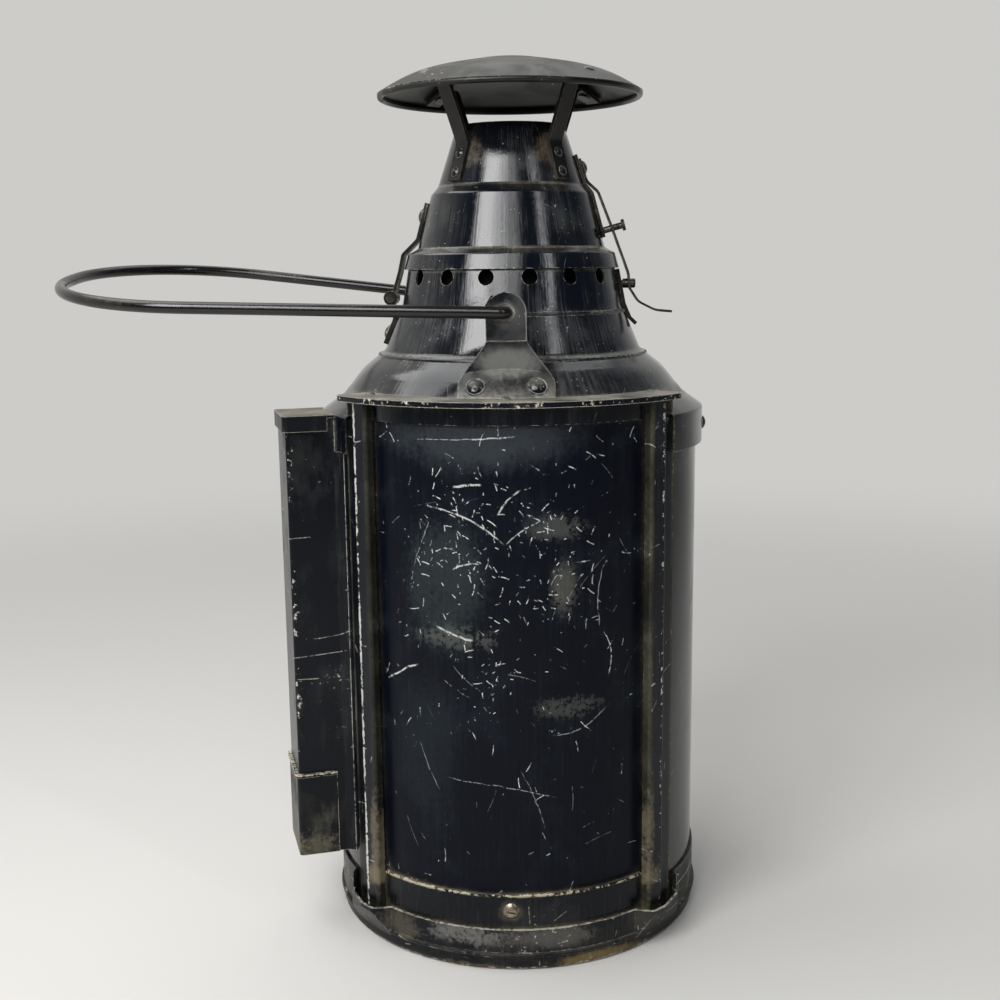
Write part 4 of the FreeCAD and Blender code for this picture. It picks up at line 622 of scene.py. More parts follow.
    def _bare(self, on: Surface, shaken: Surface) -> Socket:
        """Says where the varnish is gone: flecks, worn edges and scratches.

        Args:
            on: the surface.
            shaken: the same on the sheet that long scratches are drawn on.

        Returns:
            The mask.
        """
        tree = on.tree
        rounded = add(tree, "ShaderNodeBevel", {"Radius": self.rub_width_mm * MM}, samples=4)
        flat = add(tree, GEOMETRY, out="Normal")
        likeness = add(tree, VECTOR, {0: rounded, 1: flat}, "Value", **DOT)
        edge = add(tree, RANGE, {0: likeness, **SHARP, 4: self.rubbed}, **SMOOTH)
        open_edge = add(tree, RANGE, {0: on.hollow, **OPEN}, **SMOOTH)
        edge = add(tree, MATH, {0: edge, 1: open_edge}, **TIMES)
        wear = sum_of(tree, [edge] + [worn.mask(on) for worn in self.edges])
        weak = add(tree, MATH, {0: wear, 1: WEAR_PULL, 2: CHIP_PULL * self.chips}, **TIMES_PLUS)
        level = add(tree, MATH, {0: on.grit, 1: weak})
        broad = add(tree, MATH, {0: on.cloudy, 1: CLOUD_PULL, 2: level}, **TIMES_PLUS)
        flecks = add(tree, RANGE, {0: broad, **FLECK}, **SMOOTH)
        marks = [stroke.mask(on) for stroke in self.strokes]
        marks += [gouge.mask(shaken) for gouge in self.gouges]
        if not marks:
            return flecks
        scratched = sum_of(tree, marks)
        broken = add(tree, RANGE, {0: on.grit, **BROKEN}, **SMOOTH)
        scratched = add(tree, MATH, {0: scratched, 1: broken}, **TIMES)
        return add(tree, MATH, {0: flecks, 1: scratched}, **CLAMP)

    def _relief(self, on: Surface) -> Socket:
        """Adds shallow dents, the brush marks and the skin of the varnish.

        Args:
            on: the surface.

        Returns:
            The bumped normal.
        """
        dented = add(on.tree, NOISE,
                     {"Vector": on.point, "Scale": 1 / (DENT_MM * MM), **WAVY})
        normal = add(on.tree, BUMP, {"Height": dented, "Distance": self.dents_mm * MM})
        normal = add(on.tree, BUMP, {"Height": on.brushed, "Normal": normal,
                                     "Distance": BRUSH_DEPTH_MM * self.streaks * MM})
        return add(on.tree, BUMP, {"Height": on.grit, "Distance": SKIN_MM * MM,
                                   "Normal": normal})


@dataclass(frozen=True)
class OldMetal(Finish):
    """Bare metal that has been handled and left to tarnish.

    It gives the eye a soft metallic glint that goes dull and darker in patches, with dirt in
    its pores.
    """

    name: str
    metal: str
    tarnish: str
    dirt: str = "2a2520"
    tarnished: float = 0.5          # share gone dull, from 0 to 1
    gloss: tuple[float, float] = (0.3, 0.55)    # roughness of the clean and the dull metal
    grain_mm: float = 1.2           # pores and dirt, coarser than the real 0.3 mm to show

    def material(self) -> bpy.types.Material:
        """Builds the material.

        Returns:
            The new material.
        """
        material, tree, shader = blank(self.name)
        point = add(tree, TEX_COORD, out="Object")
        cloudy = add(tree, NOISE,
                     {"Vector": point, "Scale": 1 / (TARNISH_MM * MM), **TARNISHED})
        grain = add(tree, NOISE, {"Vector": point, "Scale": 1 / (self.grain_mm * MM), **POROUS})
        dull = add(tree, RANGE, {0: cloudy, 1: AGED_FOOT - AGED_SHIFT * self.tarnished,
                                 2: AGED_FULL - AGED_SHIFT * self.tarnished}, **SMOOTH)
        colour = add(tree, MIX, {0: dull, 6: linear(self.metal), 7: linear(self.tarnish)}, 2,
                     **COLOUR)
        dirty = add(tree, RANGE, {0: grain, **PORES}, **SMOOTH)
        colour = add(tree, MIX, {0: dirty, 6: colour, 7: linear(self.dirt)}, 2, **COLOUR)
        rough = add(tree, RANGE, {0: dull, 3: self.gloss[0], 4: self.gloss[1]})
        clean = add(tree, RANGE, {0: dirty, 3: 1.0, 4: DIRTY_SHINE})
        normal = add(tree, BUMP, {"Height": grain, "Distance": PORE_MM * MM})
        tree.links.new(colour, shader.inputs["Base Color"])
        tree.links.new(rough, shader.inputs["Roughness"])
        tree.links.new(clean, shader.inputs["Metallic"])
        tree.links.new(normal, shader.inputs["Normal"])
        return material


@dataclass(frozen=True)
class LampGlass(Finish):
    """Clear soda glass, moulded for the lens or blown thin for the chimney.

    It gives the eye bright bent reflections, slightly wavy, under a thin uneven film of dust.
    """

    name: str
    tint: str = "eef3ee"
    ripple_mm: float = 0.05         # depth of the waves
    wave_mm: float = 14.0           # their length

    def material(self) -> bpy.types.Material:
        """Builds the material.

        Returns:
            The new material.
        """
        material, tree, shader = blank(self.name)
        point = add(tree, TEX_COORD, out="Object")
        ripple = add(tree, NOISE, {"Vector": point, "Scale": 1 / (self.wave_mm * MM), **WAVY})
        film = add(tree, RANGE, {0: ripple, **DUSTY})
        normal = add(tree, BUMP, {"Height": ripple, "Distance": self.ripple_mm * MM})
        shader.inputs["Base Color"].default_value = linear(self.tint)
        shader.inputs["Transmission Weight"].default_value = 1.0
        shader.inputs["IOR"].default_value = SODA_GLASS_IOR
        tree.links.new(film, shader.inputs["Roughness"])
        tree.links.new(normal, shader.inputs["Normal"])
        return material


@dataclass(frozen=True)
class CottonBraid(Finish):
    """Flat woven cotton wick.

    It gives the eye a matt cream weave with a faint fuzz, black with soot near its lit end.
    """

    name: str = "cotton_wick_braid"
    yarn_mm: float = 1.3            # coarser than the real yarn of 0.8 mm, so that it shows
    yarn: str = "d8cfb6"
    gap: str = "8f8469"             # between the yarns
    soot: str = "17130f"
    soot_levels: tuple[float, float] = (0.112, 0.124)   # where it starts and is full, metres
    relief_mm: float = 0.25
    wobble: float = 0.6             # how far the yarns stray from straight
    matt: float = 0.9               # roughness
    fuzz: float = 0.3

    def material(self) -> bpy.types.Material:
        """Builds the material.

        Returns:
            The new material.
        """
        material, tree, shader = blank(self.name)
        point = add(tree, TEX_COORD, out="Object")
        # a wave of scale one has a period of pi / 10
        scale = math.pi / (self.yarn_mm * MM) / 10
        over, under = (add(tree, "ShaderNodeTexWave", {"Vector": point, "Scale": scale,
                                                       "Distortion": self.wobble},
                           bands_direction=way) for way in ("X", "Z"))
        weave = add(tree, MATH, {0: over, 1: under}, **TIMES)
        colour = add(tree, MIX, {0: weave, 6: linear(self.gap), 7: linear(self.yarn)}, 2,
                     **COLOUR)
        height = add(tree, SPLIT, {0: point}, 2)
        sooty = add(tree, RANGE, {0: height, 1: self.soot_levels[0],
                                  2: self.soot_levels[1]}, **SMOOTH)
        colour = add(tree, MIX, {0: sooty, 6: colour, 7: linear(self.soot)}, 2, **COLOUR)
        normal = add(tree, BUMP, {"Height": weave, "Distance": self.relief_mm * MM})
        tree.links.new(colour, shader.inputs["Base Color"])
        tree.links.new(normal, shader.inputs["Normal"])
        shader.inputs["Roughness"].default_value = self.matt
        shader.inputs["Sheen Weight"].default_value = self.fuzz
        return material


# ---- Working on meshes -------------------------------------------------------------------

def deselect() -> None:
    """Leaves nothing selected and no mesh in edit mode."""
    if bpy.context.object and bpy.context.object.mode != "OBJECT":
        bpy.ops.object.mode_set(mode="OBJECT")
    bpy.ops.object.select_all(action="DESELECT")


def choose(piece: bpy.types.Object) -> None:
    """Makes a piece the only selected and the active one.

    Args:
        piece: object to choose.
    """
    deselect()
    piece.select_set(True)
    bpy.context.view_layer.objects.active = piece


@contextmanager
def editing(piece: bpy.types.Object) -> Iterator[None]:
    """Opens a piece's mesh with all of it selected, and closes it afterwards.

    Args:
        piece: object to edit.
    """
    choose(piece)
    bpy.ops.object.mode_set(mode="EDIT")
    bpy.ops.mesh.select_all(action="SELECT")
    yield
    bpy.ops.object.mode_set(mode="OBJECT")


def join(whole: bpy.types.Object, *others: bpy.types.Object) -> None:
    """Joins other pieces into one.

    Args:
        whole: the piece that stays.
        *others: what it takes in.
    """
    choose(whole)
    for other in others:
        other.select_set(True)
    bpy.ops.object.join()


def pick(piece: bpy.types.Object, kind: str, wanted: Callable[..., bool]) -> None:
    """Selects those vertices, edges or faces of a mesh in edit mode that pass a test.

    Args:
        piece: object in edit mode.
        kind: "VERT", "EDGE" or "FACE".
        wanted: true for an element to select.
    """
    bpy.ops.mesh.select_mode(type=kind)
    bpy.ops.mesh.select_all(action="DESELECT")
    mesh = bmesh.from_edit_mesh(piece.data)
    elements = {"VERT": mesh.verts, "EDGE": mesh.edges, "FACE": mesh.faces}[kind]
    for element in elements:
        if wanted(element):
            element.select_set(True)
    bmesh.update_edit_mesh(piece.data)


def apply_modifier(piece: bpy.types.Object, kind: str, **settings: object) -> None:
    """Adds a modifier with its settings and applies it.

    Args:
        piece: object to change.
        kind: identifier of the modifier's type.
        **settings: properties of the modifier.
    """
    choose(piece)
    modifier = piece.modifiers.new(kind.lower(), kind)
    for name, value in settings.items():
        setattr(modifier, name, value)
    bpy.ops.object.modifier_apply(modifier=modifier.name)


def settle(piece: bpy.types.Object, name: str, turn: Matrix | None = None,
           smooth_under: float = 40.0) -> bpy.types.Object:
    """Names a finished piece, puts its place into its mesh and smooths it.

    Args:
        piece: the piece.
        name: its name.
        turn: where it goes, if it was made at the origin.
        smooth_under: edges sharper than this many degrees stay sharp.

    Returns:
        The piece.
    """
    choose(piece)
    bpy.ops.object.transform_apply(location=True, rotation=True, scale=True)
    if turn is not None:
        piece.data.transform(turn)
    bpy.ops.object.shade_smooth_by_angle(angle=math.radians(smooth_under))
    piece.name = name
    piece.data.name = name
    deselect()
    return piece


def facing(origin: Vector, out: Vector) -> Matrix:
    """Placement that puts a shape made on Z at a point, with its Z along a direction."""
    return Matrix.Translation(origin) @ out.to_track_quat("Z", "Y").to_matrix().to_4x4()


def at_bearing(radius: float, bearing: float, z: float) -> Vector:
    """Point at a radius, a bearing in degrees and a height."""
    angle = math.radians(bearing)
    return Vector((radius * math.sin(angle), -radius * math.cos(angle), z))


# ---- The lamp's parts --------------------------------------------------------------------

@dataclass
class Drum:
    """Pan, drum and bay: everything from the foot to the dome's skirt."""

    # where edges wear and corners fill with dust: bearings in degrees, millimetres
    post_edges: tuple[float, float] = (43.9, 48.6)
    post_foot: float = 55.2
    ledge_lip: float = 41.6
    flange_edge: float = 113.5
    pan_foot: float = 1.0
    pan_rim: float = 23.5
    shell_ends: tuple[float, float] = (34.0, 272.0)
    # the seam, metres
    drum_radius: float = 103.4 * MM
    seam_bearing: float = 105.0         # degrees
    seam_width: float = 7.0 * MM
    seam_proud: float = 0.6 * MM
    seam_fold: float = 0.9 * MM         # from its edges to its flat top
    seam_round: float = 0.3 * MM
    seam_ends: tuple[float, float] = (33.0 * MM, 275.0 * MM)
    seam: bpy.types.Object | None = field(default=None, init=False)

    def build(self) -> None:
        """Models the grooved seam that closes the drum's sheet."""
        low, high = self.seam_ends
        depth = 4 * self.seam_proud     # most of it is sunk in the drum, so that no gap shows
        step = self.seam_proud / 2      # from the drum to its edges, and on to its flat top
        deselect()
        bpy.ops.mesh.primitive_cube_add(size=1.0, scale=(self.seam_width, depth, high - low))
        seam = bpy.context.object
        bpy.ops.object.transform_apply(location=False, rotation=False, scale=True)
        with editing(seam):
            pick(seam, "FACE", lambda face: face.normal.y < -0.9)
            bpy.ops.mesh.inset(thickness=self.seam_fold)
            bpy.ops.transform.translate(value=(0.0, -step, 0.0))
            pick(seam, "EDGE", lambda edge: all(vertex.co.y < 0 for vertex in edge.verts)
                 and abs(edge.verts[0].co.z - edge.verts[1].co.z) > (high - low) / 2)
            bpy.ops.mesh.bevel(offset=self.seam_round, segments=3)
        middle = at_bearing(self.drum_radius + step - depth / 2, self.seam_bearing,
                            (low + high) / 2)
        turn = Matrix.Translation(middle) @ Matrix.Rotation(
            math.radians(self.seam_bearing), 4, "Z")
        self.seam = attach(settle(seam, "drum_seam", turn), "lamp_body")

    def dress(self) -> None:
        """Finishes the sheet metal of the drum."""
        inner, outer = self.post_edges
        for side, name in ((-1, "left"), (1, "right")):
            chipped, dusty = (0.52, 0.35) if side < 0 else (0.26, 0.6)
            Japan(f"japanned_post_{name}", specular=0.22, gloss=(0.3, 0.5), chips=0.1,
                  rubbed=0.25, specks=0.3, dents_mm=0.3, haze=0.2, fading=0.6,
                  haze_colour="33383b",
                  corners=(WornEdge(Along.BEARING, side * inner, 1.1, dusty),
                           WornEdge(Along.BEARING, side * self.post_foot, 0.7, 0.9)),
                  patches=(Patch((side * 77.5, 62.0), (4.5, 44.0), "6d6553", 0.7, 2.5),
                           Patch((side * 79.0, 40.0), (9.0, 9.0), "7a705a", 0.7, 1.8)),
                  edges=(WornEdge(Along.BEARING, side * outer, 0.9, chipped),),
                  dust_colour="5b573d", bare_tin="c9c7c0",
                  strokes=(Strokes(9.0, 0.4, 0.25, 4.1, depth=0.6),)).cover(f"bay_post_{name}")
        low, high = self.shell_ends
        Japan("japanned_drum", gloss=(0.1, 0.24), specks=0.15, haze=0.12,
              corners=(WornEdge(Along.HEIGHT, high, 3.0, 0.4),
                       WornEdge(Along.HEIGHT, low, 3.0, 0.4)),
              strokes=(Strokes(24.0, 0.3, 0.25, 2.7, depth=0.4),)).cover(
            "body_shell", "header_band", "shutter_guide", "shutter_track", self.seam)
        Japan("japanned_ledge", specular=0.22, gloss=(0.25, 0.45), chips=0.1,
              crevice_dust=0.8, dust=0.8, dust_colour="837962", bare_tin="b3ab93",
              streaks=0.1, haze=0.15, haze_colour="4a463b",
              edges=(WornEdge(Along.HEIGHT, self.ledge_lip, 1.6, 0.46),),
              strokes=(Strokes(14.0, 0.35, 0.25, 6.0, depth=0.5),),
              patches=(Patch((0.0, 33.0), (9.5, 9.0), "575142", 0.8, 0.8, 0.0),)).cover(
            "ledge_band")
        Japan("japanned_pan", specular=0.22, gloss=(0.3, 0.55), fading=0.9, chips=0.3,
              faded="1a1a1a", rubbed=0.5, bare_tin="b7b3a6", haze=0.4,
              haze_colour="3b3a37", edges=(
                  WornEdge(Along.HEIGHT, self.pan_rim, 0.7, 0.36),
                  WornEdge(Along.HEIGHT, self.pan_foot, 2.0, 0.36)),
              strokes=(Strokes(7.0, 0.45, 0.3, 1.3, depth=0.6, gathered=0.7),
                       Strokes(18.0, 0.4, 0.3, 8.8, upright=0.08, depth=0.8)),
              patches=(Patch((-22.0, 19.0), (34.0, 8.0), "7c7a75", 0.6, 4.0),
                       Patch((24.0, 18.0), (26.0, 8.0), "64615c", 0.6, 4.0),
                       Patch((-62.0, 16.0), (20.0, 13.0), "5d584a", 0.5, 2.4),
                       Patch((44.0, 3.0), (36.0, 6.5), "7d6a41", 0.8, 1.8, 0.3),
                       Patch((-20.0, 2.0), (24.0, 3.0), "5f543b", 0.6),
                       Patch((78.0, 20.0), (26.0, 12.0), "3b3a32", 0.6))).cover("base_pan")
        Japan("japanned_flange", specular=0.3, gloss=(0.22, 0.45), dust=1.0,
              crevice_dust=1.0, specks=0.3, chips=0.1, rubbed=1.0, rub_width_mm=0.7,
              edges=(WornEdge(Along.RADIUS, self.flange_edge, 0.7, 0.2),),
              dust_colour="a39f90", bare_tin="c9c3b3").cover("bay_flange")


@dataclass
class Shutter:
    """Curved plate that turns in the bay, with its hoops and its lever."""

    gouges: tuple[Gouge, ...] = (
        Gouge((-49.2, 283.0), (-12.0, 284.0), width_mm=0.35, depth=0.5),
        Gouge((-18.2, 283.7), (4.9, 285.2), width_mm=0.5),
        Gouge((-28.1, 259.6), (-12.4, 261.1), width_mm=0.8, depth=1.0),
        Gouge((-44.1, 249.4), (-1.2, 230.0), sag_mm=-4.0, width_mm=0.6, depth=0.9),
        Gouge((-40.7, 243.9), (-51.8, 215.6), width_mm=0.3, depth=0.4),
        Gouge((-1.2, 230.0), (18.0, 243.0), sag_mm=-1.5, width_mm=0.4),
        Gouge((-39.2, 186.7), (-17.3, 179.9), sag_mm=1.0, width_mm=0.8),
        Gouge((-71.7, 152.5), (-48.8, 164.4), sag_mm=-1.0, width_mm=0.7, depth=0.9),
        Gouge((50.8, 182.6), (53.9, 156.2), sag_mm=-3.5, width_mm=0.45),
        Gouge((50.5, 217.0), (49.0, 183.0), sag_mm=2.0, width_mm=0.35, depth=0.5),
        Gouge((22.2, 129.2), (52.7, 141.1), sag_mm=4.0, width_mm=0.4, depth=0.45),
        Gouge((6.6, 258.5), (-5.0, 245.9), sag_mm=1.0, width_mm=0.6),
        Gouge((-29.0, 216.6), (-14.0, 220.1), sag_mm=-1.5, width_mm=0.5),
        Gouge((-49.9, 122.4), (-38.3, 96.6), sag_mm=1.0, width_mm=0.3, depth=0.4),
        Gouge((5.3, 110.8), (18.2, 77.0), sag_mm=-1.5, width_mm=0.3, depth=0.4),
        Gouge((-36.0, 104.0), (26.0, 94.0), sag_mm=-2.5, width_mm=0.35, depth=0.4),
    )

    def dress(self) -> None:
        """Finishes the plate, its hoops and its lever."""
        upper_left, upper_right = (-20.0, 232.0), (36.0, 236.0)
        Japan("japanned_shutter", varnish="040812", faded="0a1119", specular=0.12,
              gloss=(0.32, 0.46), dust=0.05, crevice_dust=0.6, streaks=0.2,
              dents_mm=0.35, chips=0.1, rubbed=0.0, bare_tin="cfd0ce", haze=0.3,
              haze_colour="1c2126", wander_mm=0.7, gouges=self.gouges, strokes=(
                  Strokes(7.0, 0.36, 0.85, 3.3, upright=0.3, depth=1.0, gathered=0.6,
                          curl=0.04, centre=upper_left, reach=(44.0, 62.0)),
                  Strokes(3.6, 0.34, 0.55, 11.9, depth=1.0, gathered=0.9, curl=0.06,
                          centre=(-8.0, 205.0), reach=(60.0, 80.0)),
                  Strokes(6.5, 0.36, 0.8, 21.3, depth=1.0, gathered=0.7, curl=0.03,
                          centre=upper_right, reach=(30.0, 55.0)),
                  Strokes(9.0, 0.32, 0.35, 31.7, depth=1.0, gathered=0.9, curl=0.03),
                  Strokes(22.0, 0.24, 0.3, 7.1, curl=0.01, depth=0.3, gathered=0.6),
                  Strokes(46.0, 0.22, 0.35, 5.7, curl=0.006, depth=0.25)),
              patches=(
                  Patch((-14.0, 286.0), (76.0, 28.0), "32373b", 0.8, 1.2),
                  Patch((-34.0, 208.0), (36.0, 54.0), "293132", 0.75, 1.6),
                  Patch((29.0, 207.0), (9.0, 18.0), "66655e", 0.55, 5.0, 2.0),
                  Patch((26.0, 239.0), (20.0, 9.0), "5a5b57", 0.5, 6.0, 2.0),
                  Patch((-26.0, 181.0), (34.0, 9.0), "5a5b55", 0.5, 6.0, 2.0),
                  Patch((32.0, 144.0), (26.0, 9.0), "54554f", 0.5, 6.0, 2.0),
                  Patch((-46.0, 120.0), (30.0, 60.0), "181e23", 0.8))).cover("shutter")
        Japan("japanned_works", gloss=(0.3, 0.45), specular=0.3).cover(
            "shutter_hoop_lower", "shutter_hoop_upper", "shutter_bar", "shutter_lever")


@dataclass
class Dome:
    """Spun dome, its ears and its draught baffle."""

    # where dust settles, millimetres
    skirt_top: float = 301.0
    flare_foot: float = 322.5
    throat_foot: float = 366.5
    ear_foot: float = 303.0

    def dress(self) -> None:
        """Finishes the dome and what is riveted to it."""
        Japan("japanned_dome", gloss=(0.06, 0.2), streaks=0.55, specular=0.5,
              dust=0.12, crevice_dust=0.8, crevice_mm=9.0, specks=0.28, dents_mm=1.3,
              fading=0.35, chips=0.05, rubbed=0.5, haze=0.2, dust_colour="9a978b",
              haze_colour="6a6b69",
              corners=(WornEdge(Along.HEIGHT, self.skirt_top, 4.0, 0.7),
                       WornEdge(Along.HEIGHT, self.flare_foot, 1.2, 0.4),
                       WornEdge(Along.HEIGHT, self.throat_foot, 1.2, 0.3)),
              strokes=(Strokes(12.0, 0.25, 0.3, 5.1, depth=0.35, gathered=0.4),)).cover("dome")
        Japan("lamp_soot", varnish="060606", faded="0d0c0b", gloss=(0.8, 0.95),
              specular=0.05, crevice_dust=0.0, rubbed=0.0).cover("draught_baffle")
        # Both grey patches on the ears are painted sheen: the broad one on the sloping foot plate
        # and the small one above it. The bare rubbed edges are partly wear and partly a painted
        # highlight along the boss's ring and the foot plate's edges.
        Japan("japanned_forging", gloss=(0.22, 0.4), streaks=0.05, specular=0.5,
              dust=0.3, crevice_dust=0.9, chips=0.15, fading=0.9, faded="2b2c2b",
              rubbed=0.6, rub_width_mm=1.0, dents_mm=1.6, dust_colour="a3a093",
              corners=(WornEdge(Along.HEIGHT, self.ear_foot, 8.0, 0.5),),
              patches=(Patch((0.0, 321.0), (30.0, 12.0), "6b6b67", 0.7, 1.4, 0.0),
                       Patch((0.0, 345.0), (9.0, 9.0), "4a4b49", 0.6, 2.0, 0.0))).cover(
            "ear_front", "ear_rear")


@dataclass
class Cowl:
    """Hinged cowl with its struts and its straps."""

    # where dust settles, millimetres
    edge: float = 378.6
    step: float = 412.0

    def dress(self) -> None:
        """Finishes the cowl, the cap and the fittings."""
        Japan("japanned_cowl", gloss=(0.05, 0.2), streaks=0.6, specular=0.5,
              dust=0.22, crevice_dust=0.6, crevice_mm=6.0, specks=0.35, dents_mm=1.2,
              fading=0.4, chips=0.05, rubbed=0.45, haze=0.2, dust_colour="8f8a7c",
              haze_colour="63645f",
              corners=(WornEdge(Along.HEIGHT, self.edge, 1.0, 0.5),
                       WornEdge(Along.HEIGHT, self.step, 1.2, 0.45)),
              patches=(Patch((-66.0, 428.0), (44.0, 13.0), "675c4b", 0.5, 1.6, 1.6),
                       Patch((66.0, 430.0), (34.0, 12.0), "6f5c45", 0.5, 1.6, 1.6)),
              strokes=(Strokes(10.0, 0.22, 0.3, 9.1, depth=0.35, gathered=0.4),)).cover("cowl")
        strut = Japan("japanned_strut", varnish="0d0c0c", faded="1f1b18", gloss=(0.3, 0.55),
                      specular=0.35, dust=0.25, crevice_dust=0.8, chips=0.2, rubbed=0.5,
                      bare_tin="75685a", dust_colour="6f6350", haze=0.4, haze_colour="3e3932")
        strut.cover(*(f"cap_strut_{number}" for number in range(1, 5)))
        Japan("japanned_strap", varnish="0d0c0c", faded="221e1b", gloss=(0.3, 0.55),
              specular=0.35, chips=0.3, rubbed=0.5, dust=0.3, bare_tin="857a6b",
              dust_colour="6b5a43", haze=0.3, haze_colour="3e3932").cover(
            "hinge_leaf_lower", "hinge_leaf_upper", "keeper_strap", "catch_strap")


@dataclass
class CatchSpring:
    """Strip spring of the cowl's catch, which bends as its tail is pulled off the stud."""

    # where it starts to bend, and from where it moves with the catch, metres
    root: tuple[float, float, float] = (40.6 * MM, 0.0, 421.7 * MM)
    hook: tuple[float, float, float] = (70.0 * MM, 0.0, 368.0 * MM)
    bend_step: float = 3.0 * MM
    strip: bpy.types.Object | None = field(default=None, init=False)

    def build(self) -> None:
        """Cuts the strip into short lengths from its rivet down to its hook, which a bend of it
        would need.
        """
        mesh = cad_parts["catch_spring"].data.copy()
        strip = bpy.data.objects.new("catch_strip", mesh)
        bpy.context.scene.collection.objects.link(strip)
        with editing(strip):
            bpy.ops.mesh.remove_doubles(threshold=WELD)
            level = self.root[2]
            while level > self.hook[2]:
                bpy.ops.mesh.select_all(action="SELECT")
                bpy.ops.mesh.bisect(plane_co=(0.0, 0.0, level), plane_no=(0.0, 0.0, 1.0))
                level -= self.bend_step
        settle(strip, "bending_catch_spring", smooth_under=35.0)
        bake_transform(strip)
        self.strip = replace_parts(strip, "catch_spring")

    def dress(self) -> None:
        """Finishes the spring and the studs that it works on."""
        OldMetal("sprung_steel", "5d5a56", "2c2925", tarnished=0.7).cover(
            "guide_stud", "keeper_stud", "hinge_pin", self.strip)


@dataclass
class WeatherCap:
    """Dished cap with a hammered crown, the dents of long use and a rolled rim."""

    dish_radius: float = 150.0 * MM
    rim_radius: float = 72.6 * MM
    sheet: float = 1.0 * MM
    roll: float = 1.7 * MM              # radius of the rolled rim
    roll_lift: float = 0.6 * MM         # from the dish's edge to the top of the roll
    dent_foot: float = 1.5 * MM         # radius of a dent's floor
    # rings pushed outward: inner and outer radius, lift and reach
    swells: tuple[tuple[float, float, float, float], ...] = (
        (14.0 * MM, 19.0 * MM, 0.35 * MM, 7.0 * MM), (52.0 * MM, 57.0 * MM, 1.1 * MM, 24.0 * MM))
    # bearing in degrees, radius, depth and reach
    dents: tuple[tuple[float, float, float, float], ...] = (
        (62.0, 42.0 * MM, 1.3 * MM, 9.0 * MM), (38.0, 58.0 * MM, 1.0 * MM, 7.0 * MM),
        (-30.0, 47.0 * MM, 1.1 * MM, 12.0 * MM), (-78.0, 60.0 * MM, 1.0 * MM, 9.0 * MM),
        (10.0, 34.0 * MM, 0.8 * MM, 8.0 * MM), (150.0, 45.0 * MM, 1.2 * MM, 11.0 * MM),
        (-130.0, 38.0 * MM, 0.9 * MM, 9.0 * MM))

    piece: bpy.types.Object | None = field(default=None, init=False)

    def build(self) -> None:
        """Models the cap from a ball cut to a dish, and rolls its rim."""
        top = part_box("weather_cap")[1].z
        middle = top - self.dish_radius
        rim = middle + math.sqrt(self.dish_radius ** 2 - self.rim_radius ** 2)
        deselect()
        bpy.ops.mesh.primitive_uv_sphere_add(segments=144, ring_count=240,
                                             radius=self.dish_radius)
        cap = bpy.context.object
        with editing(cap):
            bpy.ops.mesh.bisect(plane_co=(0.0, 0.0, rim - middle), plane_no=(0.0, 0.0, 1.0),
                                clear_inner=True)
            for inner, outer, lift, reach in self.swells:
                pick(cap, "VERT", lambda vertex: inner < vertex.co.xy.length < outer)
                self._push(Vector((0.0, 0.0, lift)), reach)
            for bearing, radius, depth, reach in self.dents:
                spot = at_bearing(radius, bearing, math.sqrt(self.dish_radius ** 2 - radius ** 2))
                vertices = bmesh.from_edit_mesh(cap.data).verts
                nearest = min((vertex.co for vertex in vertices),
                              key=lambda place: (place - spot).length).copy()
                pick(cap, "VERT", lambda vertex: (vertex.co - nearest).length < self.dent_foot)
                self._push(-depth * spot.normalized(), reach)
        cap.data.transform(Matrix.Translation((0.0, 0.0, middle)))
        apply_modifier(cap, "SOLIDIFY", thickness=self.sheet, offset=-1.0)
        deselect()
        bpy.ops.mesh.primitive_torus_add(
            major_radius=self.rim_radius - self.roll, minor_radius=self.roll,
            major_segments=144, minor_segments=20,
            location=(0.0, 0.0, rim - self.roll + self.roll_lift))
        join(cap, bpy.context.object)
        self.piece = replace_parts(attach(settle(cap, "dented_cap"), "upper_cowl"),
                                         "weather_cap")

    @staticmethod
    def _push(way: Vector, reach: float) -> None:
        """Moves what is selected, and drags its neighbourhood along softly.

        Args:
            way: how far it moves.
            reach: how far out its neighbourhood follows.
        """
        bpy.ops.transform.translate(value=way, use_proportional_edit=True,
                                    proportional_edit_falloff="SMOOTH",
                                    proportional_size=reach)

    def dress(self) -> None:
        """Finishes the cap."""
        Japan("japanned_cap", varnish="0b0c0a", faded="1a1a16", gloss=(0.3, 0.5),
              specular=0.35, dust=0.25, streaks=0.1, dents_mm=2.0, chips=0.08,
              fading=0.9, rubbed=0.25, specks=0.3, dust_colour="5a574b").cover(self.piece)


